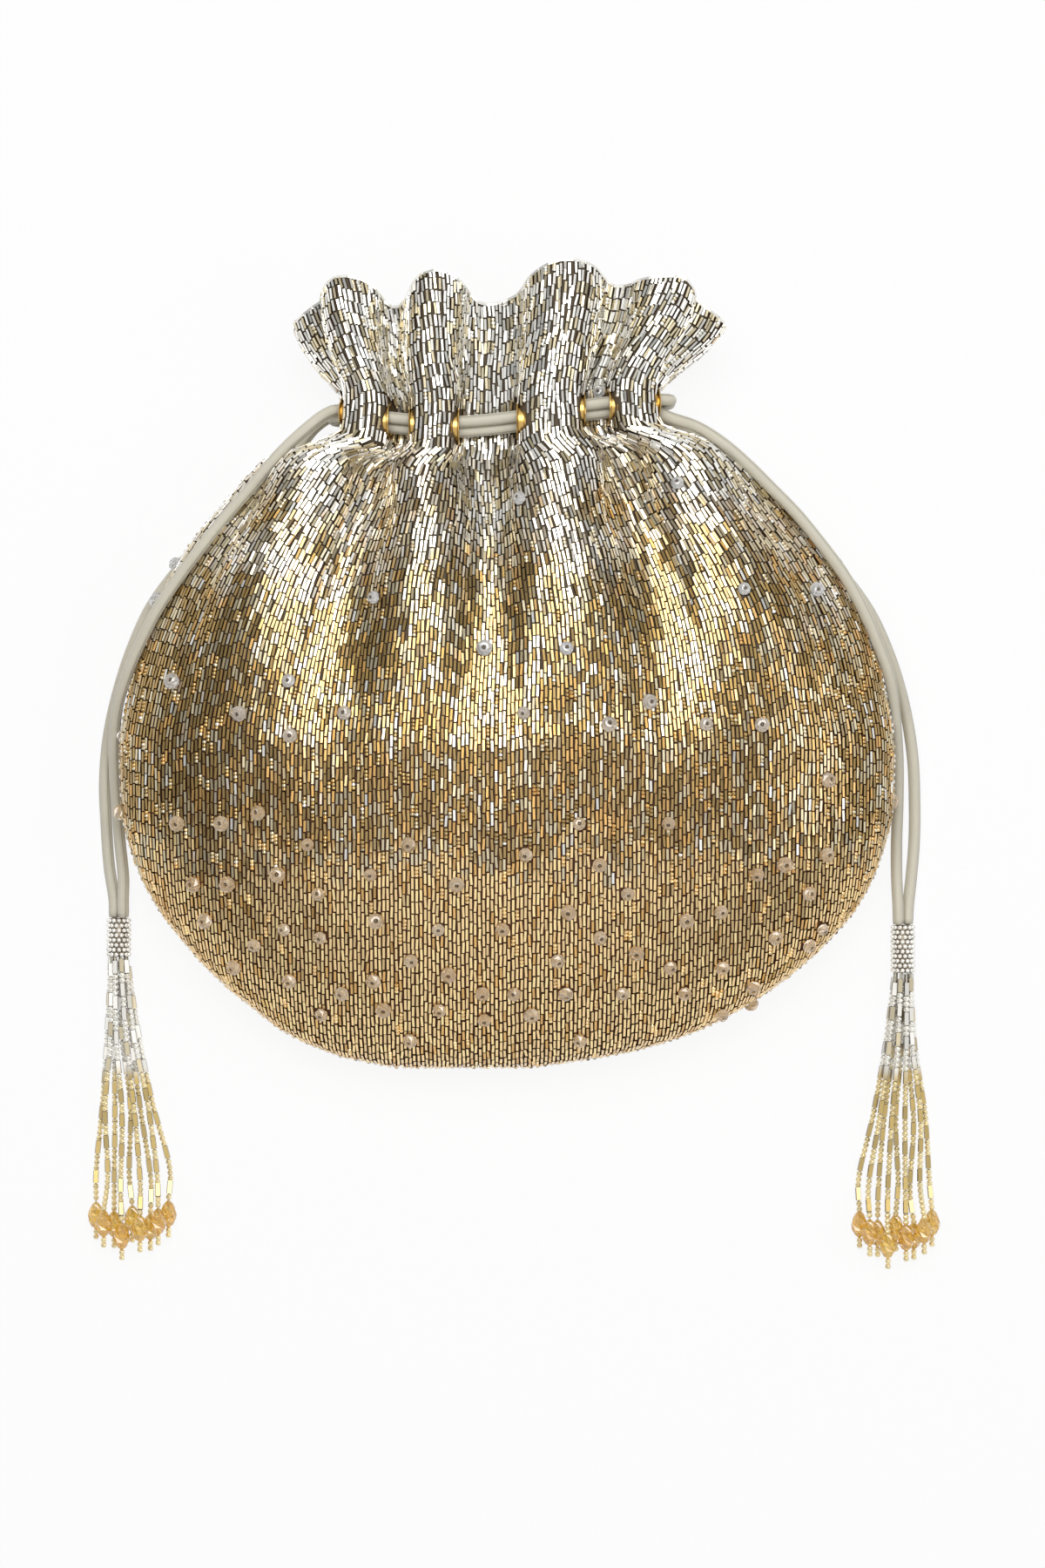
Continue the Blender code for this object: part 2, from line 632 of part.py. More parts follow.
def collar(name, top, length, material):
    """The wrapped head of a tassel, with a groove between its turns of beads."""
    away = Matrix.Rotation(math.radians(90), 4, "X")
    place = Matrix.Translation(top) @ away
    radius = COLLAR_DIAMETER / 2
    profile = []
    for row in range(COLLAR_ROWS):
        low, high = length * row / COLLAR_ROWS, length * (row + 1) / COLLAR_ROWS
        profile += [(low, radius - COLLAR_GROOVE), ((low + high) / 2, radius)]
    profile.append((length, radius - COLLAR_GROOVE))
    shape = bmesh.new()
    lathe(shape, profile, place, EYELET_SIDES, False)
    return mesh_object(name, shape, material)


def strand(name, top, drop, low, material):
    """A string of beads that ends in a glass drop with a small bead under it."""
    thread = STRAND_DIAMETER / 2
    reach = drop.y + DROP_LENGTH / 2 - top.y
    points, radii = [], []
    for share, lift in STRAND_SAG:
        across = share * share * (3 - 2 * share)
        x = top.x + (drop.x - top.x) * across
        z = top.z + (low - top.z) * lift
        points.append(Vector((x, top.y + reach * share, z)))
        radii.append(1.0)
    for share, size in DROP_SHAPE:
        points.append(Vector((drop.x, drop.y + DROP_LENGTH * share, drop.z)))
        radii.append(DROP_DIAMETER / 2 * size / thread)
    bead = END_BEAD_DIAMETER / 2
    foot = drop.y - DROP_LENGTH / 2 - bead
    for share, size in BEAD_SHAPE:
        points.append(Vector((drop.x, foot + bead * share, drop.z)))
        radii.append(bead * size / thread)
    return tube(name, points, STRAND_DIAMETER, material, 6, radii)


def tassel(side, top, length, fan, reach, materials):
    """A collar and its strands: the floor layer of drops and the layer on top of it."""
    top = beside_bag(top, side)
    collar(f"tassel_{side}_collar", top, length, materials["beads"])
    start_y = top.y - length - GAP
    drop_y = top.y - length - reach
    radius = DROP_DIAMETER / 2
    rest = radius + GAP
    touch = DROP_DIAMETER + GAP
    on_top = rest + math.sqrt(max(0.0, touch**2 - (DROP_SPACING / 2) ** 2))
    strand_low = STRAND_DIAMETER / 2 + GAP
    layers = (
        (FLOOR_STRANDS, FLOOR_STAGGER, rest, strand_low),
        (TOP_STRANDS, TOP_STAGGER, on_top, 2 * STRAND_DIAMETER + strand_low),
    )
    number = 1
    for turns, stagger, height, low in layers:
        for i, turn in enumerate(turns):
            out = math.radians(turn)
            ring = Vector((math.cos(out), 0, math.sin(out))) * STRAND_RING
            start = Vector((top.x, start_y, top.z)) + ring
            place = (i - (len(turns) - 1) / 2) * DROP_SPACING
            drop = Vector((top.x + fan + place, drop_y + stagger[i], height))
            strand(f"tassel_{side}_strand_{number}", start, drop, low, materials["drops"])
            number += 1


def main():
    clear_scene()
    materials = {
        "silver": make_material("beaded_cloth", (0.62, 0.50, 0.30), 0.3, 0.8),
        "satin": make_material("cord_satin", (0.60, 0.57, 0.50), 0.55, 0.0),
        "lining": make_material("lining_satin", (0.50, 0.42, 0.30), 0.6, 0.0),
        "brass": make_material("eyelet_brass", (0.75, 0.52, 0.20), 0.25, 1.0),
        "beads": make_material("silver_beads", (0.75, 0.74, 0.72), 0.25, 0.7),
        "drops": make_material("amber_glass", (0.85, 0.55, 0.25), 0.1, 0.0),
    }
    turns = eyelet_turns()
    for label, front in (("front", True), ("back", False)):
        cloth = panel(f"{label}_panel", front, materials["silver"])
        places = [eyelet_place(turn, front) for turn in turns]
        cut_eyelet_holes(cloth, places)
        for i, place in enumerate(places):
            eyelet(f"eyelet_{label}_{i + 1}", place, materials["brass"])
    lining("lining", materials["lining"])
    drawstring("left", 1, LEFT_FRONT_TAIL, LEFT_BACK_TAIL, LEFT_COLLAR, materials["satin"])
    drawstring(
        "right", -1, RIGHT_FRONT_TAIL, RIGHT_BACK_TAIL, RIGHT_COLLAR, materials["satin"]
    )
    tassel("left", LEFT_COLLAR, LEFT_COLLAR_LENGTH, LEFT_FAN, LEFT_REACH, materials)
    tassel("right", RIGHT_COLLAR, RIGHT_COLLAR_LENGTH, RIGHT_FAN, RIGHT_REACH, materials)


main()
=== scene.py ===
"""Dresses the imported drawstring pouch: gathered cloth, beadwork, eyelets, satin cords and
bead tassels. It is laid out as an add-on and is run as a script."""

import math

import bpy
import numpy as np
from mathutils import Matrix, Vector


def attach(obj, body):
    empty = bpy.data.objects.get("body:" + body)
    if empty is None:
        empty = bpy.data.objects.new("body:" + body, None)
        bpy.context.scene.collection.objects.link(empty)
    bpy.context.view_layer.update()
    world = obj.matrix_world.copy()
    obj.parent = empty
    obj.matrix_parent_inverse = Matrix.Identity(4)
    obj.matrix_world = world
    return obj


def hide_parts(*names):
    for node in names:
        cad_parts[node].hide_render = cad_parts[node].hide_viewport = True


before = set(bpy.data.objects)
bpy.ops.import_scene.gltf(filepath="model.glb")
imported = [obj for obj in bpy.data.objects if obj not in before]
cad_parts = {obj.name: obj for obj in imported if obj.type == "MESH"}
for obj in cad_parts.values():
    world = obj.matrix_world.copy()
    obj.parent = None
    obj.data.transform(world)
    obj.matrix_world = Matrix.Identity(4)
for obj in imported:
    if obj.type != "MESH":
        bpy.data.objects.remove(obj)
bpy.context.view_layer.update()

bl_info = {
    "name": "Beaded Drawstring Pouch",
    "version": (1, 0, 0),
    "blender": (4, 5, 0),
    "location": "View3D > Sidebar > Pouch",
    "description": "Dresses a packed pouch with cloth, beadwork, cords and tassels",
    "category": "Add Mesh",
}

# The pouch's own shape, as its solids have it
BAG_WIDTH = 0.220
BODY_LENGTH = 0.1848
NECK_WIDTH = 0.085
NECK_Y = 0.0714
RUFFLE_WIDTH = 0.1222
FRONT_DEPTH = 0.031
BACK_DEPTH = 0.018
NECK_DEPTH = 0.0115
MOUTH_DEPTH = 0.0145
MOUTH_LIFT = 0.0012
SEAM_HEIGHT = 0.0155
NECK_HEIGHT = 0.020
FOLD_HEIGHT = 0.0065
MOUTH_FOLD_HEIGHT = 0.0045
GAP = 0.0003
SIDE_TUCK = 0.0035
EYELET_STUB = 0.0028
EYELET_BORE = 0.0083
CLOTH_STEP = 0.0016
SIDE_LINE = [
    (0.0, 0.0), (0.034, 0.012), (0.047, 0.12), (0.062, 0.28), (0.076, 0.374),
    (0.13, 0.526), (0.214, 0.73), (0.33, 0.893), (0.411, 0.955), (0.514, 1.0),
    (0.601, 0.993), (0.682, 0.94), (0.752, 0.847), (0.812, 0.714), (0.861, 0.576),
    (0.908, 0.403), (0.943, 0.247), (0.963, 0.114), (0.982, -0.06), (1.0, -0.35),
]
FLARE_LINE = [(0.0, 0.0), (0.15, 0.04), (0.34, 0.29), (0.57, 0.62), (0.83, 0.885), (1.0, 1.0)]
RUFFLE_SPAN = -0.2
MIDDLE_LINE = [
    (RUFFLE_SPAN, 0.0034), (0.0, -0.0084), (0.3, 0.0), (0.75, 0.0), (0.9, -0.0114),
    (0.963, -0.03), (1.0, -0.0582),
]
NECK_RISE = [
    (-0.9, 0.0118), (-0.58, -0.0265), (-0.23, -0.0382), (0.08, -0.0206), (0.55, 0.0235),
    (0.88, 0.0412),
]
RISE_FADE = [(RUFFLE_SPAN, 0.0), (-0.04, 1.0), (0.04, 1.0), (0.2, 0.0)]
FRONT_FILL = [
    (0.0, 0.0), (0.03, 0.02), (0.076, 0.16), (0.13, 0.34), (0.2, 0.55), (0.32, 0.82), (0.5, 1.0),
]
BACK_FILL = [(0.0, 0.0), (0.05, 0.2), (0.1, 0.5), (0.2, 0.85), (0.5, 1.0)]
SEAM_FALL = [(0.0, 0.0), (0.2, 0.45), (0.5, 1.0), (1.0, 1.5)]
FOLD_FADE = [
    (0.0, 1.0), (0.03, 1.0), (0.08, 0.9), (0.14, 0.74), (0.22, 0.56), (0.32, 0.37),
    (0.42, 0.18), (0.52, 0.05), (0.62, 0.0),
]
SHARPNESS = [
    (RUFFLE_SPAN, 0.2), (-0.1, 0.35), (-0.035, 1.0), (0.03, 1.0), (0.08, 0.3), (0.2, 0.1),
]
ROUNDNESS = [(RUFFLE_SPAN, 2.6), (-0.03, 3.0), (0.03, 3.0), (0.08, 2.3), (0.15, 2.0)]
BELLY = 0.5
BOTTOM_CURVE = 2.4
EYELET_SHARES = [-0.8755, -0.661, -0.498, -0.263, 0.119, 0.461, 0.645, 0.869]
FRONT_MOUTH = [0.0265, 0.0385, 0.0303, 0.0398, 0.031, 0.0428, 0.0363, 0.0385, 0.0265]
BACK_MOUTH = [0.0265, 0.029, 0.026, 0.029, 0.026, 0.029, 0.026, 0.029, 0.0265]
FLANK_SWAY = 0.0009
LINING_ROWS = [0.17, 0.21, 0.25, 0.3, 0.35, 0.41, 0.48, 0.54, 0.6, 0.65, 0.7, 0.75, 0.79, 0.83,
               0.86, 0.89, 0.91, 0.93, 0.945]
LINING_TUCK = 0.06
LINING_INSET = 0.0025

# The cords' routes: how far out from the bag's side outline at that height, then Y and Z
LEFT_FRONT_TAIL = [
    (0.0079, 0.0726, 0.0280), (0.0155, 0.0665, 0.0293), (0.0019, 0.0590, 0.0299),
    (-0.0019, 0.0503, 0.0288), (-0.0024, 0.0425, 0.0280), (-0.0031, 0.0338, 0.0278),
    (-0.0020, 0.0250, 0.0266), (-0.0005, 0.0160, 0.0251), (0.0009, 0.0070, 0.0224),
    (0.0025, -0.0020, 0.0192), (0.0036, -0.0110, 0.0151), (0.0034, -0.0200, 0.0108),
    (0.0035, -0.0300, 0.0070), (0.0035, -0.0400, 0.0046), (0.0048, -0.0500, 0.0038),
    (0.0074, -0.0600, 0.0042), (0.0112, -0.0670, 0.0050),
]
LEFT_BACK_TAIL = [
    (0.0076, 0.0729, 0.0116), (0.0125, 0.0700, 0.0094), (0.0161, 0.0656, 0.0060),
    (0.0034, 0.0602, 0.0034), (-0.0013, 0.0545, 0.0027), (-0.0004, 0.0470, 0.0028),
    (0.0002, 0.0370, 0.0040), (0.0018, 0.0280, 0.0060), (0.0034, 0.0180, 0.0075),
    (0.0042, 0.0060, 0.0075), (0.0053, -0.0070, 0.0058), (0.0059, -0.0200, 0.0035),
    (0.0070, -0.0330, 0.0022), (0.0076, -0.0450, 0.0020), (0.0104, -0.0570, 0.0020),
    (0.0140, -0.0670, 0.0021),
]
RIGHT_FRONT_TAIL = [
    (0.0043, 0.0712, 0.0252), (0.0112, 0.0686, 0.0268), (0.0147, 0.0637, 0.0283),
    (0.0015, 0.0578, 0.0274), (0.0007, 0.0515, 0.0261), (0.0012, 0.0440, 0.0250),
    (0.0004, 0.0355, 0.0244), (0.0011, 0.0265, 0.0234), (0.0014, 0.0175, 0.0223),
    (0.0020, 0.0080, 0.0202), (0.0031, -0.0025, 0.0174), (0.0027, -0.0140, 0.0122),
    (0.0029, -0.0260, 0.0072), (0.0035, -0.0380, 0.0045), (0.0051, -0.0490, 0.0036),
    (0.0090, -0.0600, 0.0040), (0.0144, -0.0690, 0.0050),
]
RIGHT_BACK_TAIL = [
    (0.0039, 0.0708, 0.0150), (0.0088, 0.0690, 0.0128), (0.0134, 0.0660, 0.0082),
    (0.0066, 0.0615, 0.0042), (-0.0018, 0.0550, 0.0028), (-0.0009, 0.0470, 0.0028),
    (-0.0003, 0.0370, 0.0040), (0.0023, 0.0280, 0.0060), (0.0044, 0.0170, 0.0075),
    (0.0056, 0.0040, 0.0072), (0.0067, -0.0100, 0.0050), (0.0075, -0.0250, 0.0030),
    (0.0086, -0.0390, 0.0021), (0.0106, -0.0500, 0.0020), (0.0134, -0.0600, 0.0020),
    (0.0175, -0.0690, 0.0021),
]
TAILS = {"left": (LEFT_FRONT_TAIL, LEFT_BACK_TAIL), "right": (RIGHT_FRONT_TAIL, RIGHT_BACK_TAIL)}
COLLARS = {"left": (0.0159, -0.0718, 0.00375), "right": (0.0196, -0.0738, 0.00375)}
COLLAR_LENGTHS = {"left": 0.0112, "right": 0.0138}
FANS = {"left": 0.0038, "right": -0.0020}
REACHES = {"left": 0.0750, "right": 0.0730}
STRAND_RING = 0.00255
FLOOR_STRANDS = [200, 235, 270, 305, 340]
TOP_STRANDS = [150, 110, 70, 30]
FLOOR_STAGGER = [0.0, -0.0026, -0.001, -0.0034, 0.0004]
TOP_STAGGER = [-0.002, -0.0056, -0.0034, -0.0014]
STRAND_SAG = [(0.0, 0.0), (0.3, 0.55), (0.6, 0.95), (0.88, 0.9)]
DROP_SPACING = 0.00525
STRAND_THICKNESS = 0.0012

# Fine steps of the dressed surfaces
CLOTH_STEPS = 144
RUFFLE_STEPS = 22
BODY_STEPS = 96
LAST_PLACES = [0.998, 0.9992, 0.9998, 1.0]
CORD_STEP = 0.0016
LINING_STEPS = 48
LINING_FLOOR = 0.0036
LINING_THICKNESS = 0.0005

# The start of all random draws
RANDOM_START = 7

# How the strings of bugles run: shares of their spacing or of a bugle's length
GOLDEN = 0.6180339887
COLUMN_EDGE = 0.75
JUMP_CHANCE = 0.22
DRIFT = 0.07
SHORTEST_BUGLE = 0.2

# How the bugles sit: their seat is a share of their width, and they turn by radians.
# From LOOSE_FROM upward, over LOOSE_OVER, they sit ever more loosely.
BUGLE_SEAT = 0.40
UNEVEN_SEAT = 0.00006
SPIN = 0.035
PITCH = 0.035
LOOSE_PITCH = 0.045
ROLL = 0.05
LOOSE_ROLL = 0.11
LOOSE_FROM = 0.01
LOOSE_OVER = 0.05

# Some of the bugles in a small block of cloth have one tone, and some are three seed beads
TONE_BLOCK = (0.0037, 0.0034, 1.0)
SAME_TONE = 0.4
SEEDS_FROM, SEEDS_TO = -0.06, 0.0
SEEDS_INSIDE = 0.10
SEEDS_ELSEWHERE = 0.035
EYELET_ROOM = 0.0017

# Edges, tassel heads and strands: shares of a bead's width
SEAM_SPACING = 1.45
EDGE_SEAT = 0.3
EDGE_RISE = 0.35
CORE_INSET = 0.55
COLLAR_SPACING = 1.02
COLLAR_SEAT = 0.07
COLLAR_ROOM = 0.12
STRAND_SEED = 1.3
STRAND_ROOM = 0.96
STRAND_SPACING = 0.92
UNDER_DROP = (0.45, 1.3)

# The same in metres. A bead's way is read this far to each side of it, on seams and strands.
SEAM_REACH = 0.001
SEAM_SCATTER = 0.0002
STRAND_REACH = 0.0004
STRAND_START = 0.0016
START_VARIES = 0.003
AFTER_BUGLE = 0.0001
STRAND_SWAY = 0.0006

# Crystals: shares of their width, how far their tops lean, and then metres
CRYSTAL_ROOM = 0.44
CRYSTAL_SEAT = 0.34
CRYSTAL_TILT = 0.16
CRYSTAL_SIZES = (0.86, 1.12)
PIN_SIZE = 0.7
PIN_SEAT = 0.24
CRYSTAL_FLOOR = 0.0042
CRYSTAL_REACH = 0.002
BACK_SPACING = 0.0145
BACK_SCATTER = 0.0016

# The stage: lamps with their places, sizes and power, the camera, the floor and the world
LAMPS = (
    ("key_softbox", (-0.05, 0.45, 1.30), (1.10, 0.80), 12.0),
    ("side_softbox", (0.95, -0.05, 0.85), (0.6, 0.6), 2.0),
)
LAMP_AIM = (0.0, -0.02, 0.02)
CAMERA_PLACE = (0.0044, -0.033, SEAM_HEIGHT + 1.25)
CAMERA_LENS = 100.0
CAMERA_SENSOR = 36.0
FLOOR_RADIUS = 6.0
FLOOR_WHITENESS = 0.90
CEILING = 0.36
STRIP = 0.62
WALLS = (0.97, 0.97, 0.97)
SKY_LIGHT = (0.30, 0.30, 0.305)

# Crystals sewn on the front, in X and Y
FRONT_CRYSTALS = [
    (0.0044, 0.0478), (-0.0364, 0.02), (0.0486, 0.0513), (0.0664, 0.022), (0.0869, 0.022),
    (0.0266, 0.078), (-0.0612, -0.0026), (-0.0452, -0.014), (-0.0749, -0.014), (-0.0608, -0.0206),
    (-0.0939, -0.0035), (-0.0063, 0.006), (0.0167, 0.0048), (0.0397, -0.0088), (0.0283, -0.0153),
    (0.0047, -0.0143), (0.056, -0.0157), (0.0712, -0.0157), (0.0902, -0.0333), (0.0201, -0.0449),
    (0.0452, -0.0451), (-0.0274, -0.0491), (0.0051, -0.052), (0.0258, -0.0554), (-0.0555, -0.051),
    (-0.0929, -0.0434), (-0.0802, -0.0438), (-0.0697, -0.04), (-0.0882, -0.0603),
    (-0.0787, -0.0615), (-0.0644, -0.0596), (-0.038, -0.0584), (-0.053, -0.0643),
    (-0.0139, -0.0601), (-0.0365, -0.0717), (-0.0192, -0.0734), (-0.0012, -0.0738),
    (0.0173, -0.0685), (0.0336, -0.0649), (0.0501, -0.071), (0.0602, -0.0691), (0.0701, -0.0573),
    (0.0779, -0.0569), (0.0849, -0.0649), (0.0902, -0.0537), (0.0754, -0.0759), (-0.0851, -0.0723),
    (-0.0711, -0.0774), (-0.0625, -0.0738), (-0.0612, -0.0879), (-0.0523, -0.0765),
    (-0.0523, -0.0981), (-0.0466, -0.0911), (-0.0348, -0.0964), (-0.0376, -0.0875),
    (-0.027, -0.0814), (-0.0164, -0.0854), (-0.0069, -0.0917), (0.0021, -0.0917),
    (-0.019, -0.0964), (-0.0065, -0.0991), (0.0068, -0.0977), (0.0163, -0.0922), (0.0142, -0.0818),
    (0.0262, -0.0748), (0.0363, -0.0795), (0.0325, -0.0911), (0.0205, -0.1044), (0.0501, -0.0924),
    (0.0458, -0.0844), (0.0606, -0.0844), (0.0695, -0.0907), (0.0606, -0.097), (-0.0274, -0.1044),
    (0.0853, -0.0791), (-0.077, -0.0844), (0.0891, -0.0738),
]


def smooth_between(points, at):
    """Reads a list of (place, value) pairs as a curve that never overshoots."""
    if at <= points[0][0]:
        return points[0][1]
    if at >= points[-1][0]:
        return points[-1][1]
    slopes = [(b[1] - a[1]) / (b[0] - a[0]) for a, b in zip(points[:-1], points[1:])]
    turns = [slopes[0]]
    for before, after in zip(slopes[:-1], slopes[1:]):
        same_way = before * after > 0
        turns.append(2 * before * after / (before + after) if same_way else 0.0)
    turns.append(slopes[-1])
    last = max(i for i, point in enumerate(points[:-1]) if point[0] <= at)
    (x0, y0), (x1, y1) = points[last], points[last + 1]
    span = x1 - x0
    t = (at - x0) / span
    bend = (3 - 2 * t) * t * t
    start = turns[last] * span * t * (1 - t) ** 2
    end = turns[last + 1] * span * t * t * (1 - t)
    return y0 + (y1 - y0) * bend + start - end


def arc_lengths(points):
    """How far along a line each of its points lies."""
    return np.concatenate(([0.0], np.cumsum(np.linalg.norm(np.diff(points, axis=0), axis=1))))


def read_at(at, along, values):
    """Reads rows of three values at places along a line."""
    return np.stack([np.interp(at, along, values[:, k]) for k in range(3)], axis=-1)


def label_of(front):
    return "front" if front else "back"


def half_width(place):
    neck = NECK_WIDTH / 2
    if place >= 0:
        return neck + (BAG_WIDTH / 2 - neck) * smooth_between(SIDE_LINE, place)
    flare = smooth_between(FLARE_LINE, place / RUFFLE_SPAN)
    return neck + (RUFFLE_WIDTH / 2 - neck) * flare


def fold_height(place):
    if place >= 0:
        return FOLD_HEIGHT * smooth_between(FOLD_FADE, place)
    up = place / RUFFLE_SPAN
    return FOLD_HEIGHT + (MOUTH_FOLD_HEIGHT - FOLD_HEIGHT) * up


def side_fold_height(place):
    return fold_height(place) * (1 - max(0.0, place / RUFFLE_SPAN))


def seam_height(place):
    if place < 0:
        return NECK_HEIGHT + MOUTH_LIFT * place / RUFFLE_SPAN
    return NECK_HEIGHT + (SEAM_HEIGHT - NECK_HEIGHT) * smooth_between(SEAM_FALL, place)


def depth(place, front):
    if place < 0:
        return NECK_DEPTH + (MOUTH_DEPTH - NECK_DEPTH) * place / RUFFLE_SPAN
    full, fill = (FRONT_DEPTH, FRONT_FILL) if front else (BACK_DEPTH, BACK_FILL)
    out = NECK_DEPTH + (full - NECK_DEPTH) * smooth_between(fill, place)
    down = max(0.0, (place - BELLY) / (1 - BELLY))
    return out * math.sqrt(max(0.0, 1 - down**BOTTOM_CURVE))


def middle_line(place):
    return BAG_WIDTH * smooth_between(MIDDLE_LINE, place)


def ring_width(place):
    return half_width(place) + side_fold_height(place)


def eyelet_turns():
    power = smooth_between(ROUNDNESS, 0.0) / 2
    return [math.acos(math.copysign(abs(share) ** power, share)) for share in EYELET_SHARES]


def on_ring(place, turn, front):
    """A point of the middle line at that place, and the way out from it, in X and Z."""
    wide, deep = ring_width(place), depth(place, front)
    power = smooth_between(ROUNDNESS, place)
    across = math.copysign(abs(math.cos(turn)) ** (2 / power), math.cos(turn))
    out = abs(math.sin(turn)) ** (2 / power)
    sideways = math.copysign(abs(across) ** (power - 1), across) / wide
    normal = Vector((sideways, 0, out ** (power - 1) / max(deep, CLOTH_STEP))).normalized()
    return Vector((middle_line(place) + wide * across, 0, deep * out)), normal


def rise(place, x):
    share = (x - middle_line(0.0)) / ring_width(0.0)
    return NECK_WIDTH * smooth_between(NECK_RISE, share) * smooth_between(RISE_FADE, place)


def to_frame(point, place, height, front, floor=CLOTH_STEP / 2):
    side = 1 if front else -1
    z = seam_height(place) + side * (GAP / 2 + point.z)
    return Vector((point.x, height + rise(place, point.x), max(z, floor)))


def fold_turns():
    turns = eyelet_turns()
    return [2 * math.pi - turns[0], *turns, -turns[-1]]


def panel_point(at, turns, place, up, front, floor):
    """A point of a panel's middle surface: at counts the folds from the left."""
    fold = min(int(at), len(turns) - 2)
    share, start, end = at - fold, turns[fold], turns[fold + 1]
    spacing = abs(math.cos(start) - math.cos(end)) * ring_width(0.0)
    flank = max(1.0, math.log2(max(spacing, 2 * FLANK_SWAY) / (2 * FLANK_SWAY)))
    power = 1 + (flank - 1) * smooth_between(SHARPNESS, place)
    if share <= 0.5:
        eased = 0.5 * (2 * share) ** power
    else:
        eased = 1 - 0.5 * (2 - 2 * share) ** power
    point, normal = on_ring(place, start + (end - start) * eased, front)
    at_side = fold in (0, len(EYELET_SHARES))
    tall = side_fold_height(place) if at_side else fold_height(place)
    crest = 1 if fold % 2 else -1
    point += normal * (crest * tall * math.sin(math.pi * share))
    if at_side and abs(eased - 0.5) < 1e-9:
        point.z = 0.0
    mouth = FRONT_MOUTH if front else BACK_MOUTH
    sweep = math.sin(math.pi * min(share, 1 - share)) / 2
    edge = mouth[min(fold, len(mouth) - 1)]
    other = mouth[max(fold - 1, 0)] if share < 0.5 else mouth[min(fold + 1, len(mouth) - 1)]
    top = edge + (other - edge) * (0.5 - sweep)
    height = NECK_Y - place * BODY_LENGTH if place >= 0 else NECK_Y + up * top
    return to_frame(point, place, height, front, floor)


def panel_rows():
    """(place, share of the way up the ruffle) from the mouth's edge to the bottom seam."""
    rows = [(up * RUFFLE_SPAN, up) for up in np.linspace(1.0, 0.0, RUFFLE_STEPS)[:-1]]
    for step in np.linspace(0.0, 1.0, BODY_STEPS)[:-1]:
        rows.append((step - 0.6 * math.sin(2 * math.pi * step) / (2 * math.pi), 0.0))
    return rows + [(place, 0.0) for place in LAST_PLACES]


_panels = {}


def panel_table(front):
    """The panel as rows of points: as folded, and evenly spaced along each row."""
    sizes = bpy.context.scene.pouch_sizes
    floor = sizes.cloth_thickness / 2 + sizes.bugle_width + GAP
    if (front, floor) in _panels:
        return _panels[front, floor]
    turns = fold_turns()
    ats = np.linspace(0.5, len(turns) - 1.5, CLOTH_STEPS + 1)
    rows = panel_rows()
    raw = np.array([
        [panel_point(at, turns, place, up, front, floor) for at in ats] for place, up in rows
    ])
    even = np.linspace(0.0, 1.0, 4 * CLOTH_STEPS + 1)
    points = np.empty((len(rows), len(even), 3))
    arcs = np.empty(len(rows))
    for r, row in enumerate(raw):
        along = arc_lengths(row)
        arcs[r] = along[-1]
        points[r] = read_at(even * along[-1], along, row)
    normals = np.cross(np.gradient(points, axis=0), np.gradient(points, axis=1))
    normals *= 1 if front else -1
    normals /= np.maximum(np.linalg.norm(normals, axis=2, keepdims=True), 1e-12)
    _panels[front, floor] = {
        "raw": raw, "points": points, "normals": normals, "arcs": arcs, "even": even,
        "places": np.array([place for place, _ in rows]),
    }
    return _panels[front, floor]


def smooth_route(points, fine=16):
    """A smooth line through a route's points, with many points of its own."""
    points = [Vector(p) for p in points]
    ends = [2 * points[0] - points[1], *points, 2 * points[-1] - points[-2]]
    line = []
    for a, b, c, d in zip(ends[:-3], ends[1:-2], ends[2:-1], ends[3:]):
        knots = [0.0]
        for one, two in ((a, b), (b, c), (c, d)):
            knots.append(knots[-1] + max((two - one).length, 1e-6) ** 0.5)
        for step in range(fine):
            t = knots[1] + (knots[2] - knots[1]) * step / fine
            ab = a.lerp(b, (t - knots[0]) / (knots[1] - knots[0]))
            bc = b.lerp(c, (t - knots[1]) / (knots[2] - knots[1]))
            cd = c.lerp(d, (t - knots[2]) / (knots[3] - knots[2]))
            abc = ab.lerp(bc, (t - knots[0]) / (knots[2] - knots[0]))
            bcd = bc.lerp(cd, (t - knots[1]) / (knots[3] - knots[1]))
            line.append(abc.lerp(bcd, (t - knots[1]) / (knots[2] - knots[1])))
    line.append(points[-1])
    return line


def lengths_along(line):
    along = [0.0]
    for one, two in zip(line[:-1], line[1:]):
        along.append(along[-1] + (two - one).length)
    return along


def beside_bag(point, side):
    offset, y, z = point
    out = half_width(max((NECK_Y - y) / BODY_LENGTH, RUFFLE_SPAN)) + offset
    return Vector((-out if side == "left" else out, y, z))


def held_route(side, diameter):
    """A drawstring's way through the sixteen eyelets, beside the other drawstring."""
    outward = 1 if side == "left" else -1
    apart = (diameter + GAP) / 2
    lean = math.radians(45)
    turns = eyelet_turns() if side == "left" else eyelet_turns()[::-1]
    past = 0.0 if side == "left" else math.pi
    halfway = (turns[-1] + past) / 2
    stops = [(turn, True) for turn in turns]
    stops += [(halfway, True), (past, True), (halfway, False)]
    stops += [(turn, False) for turn in reversed(turns)]
    route = []
    for turn, front in stops:
        point, normal = on_ring(0.0, turn, front)
        if turn == past:
            point = Vector((point.x - (SIDE_TUCK if outward > 0 else 0.0), 0, 0))
        placed = to_frame(point, 0.0, NECK_Y, front)
        if turn == past:
            placed.z = NECK_HEIGHT
        away = Vector((normal.x, 0, normal.z if front else -normal.z))
        offset = away * math.cos(lean) + Vector((0, math.sin(lean), 0))
        route.append(placed + offset * (outward * apart))
    return route


def tail_end_offsets(side, diameter):
    lean = math.radians(40)
    half = (diameter + GAP) / 2
    inward = 1 if side == "left" else -1
    over = Vector((inward * half * math.cos(lean), 0, half * math.sin(lean)))
    return over, -over


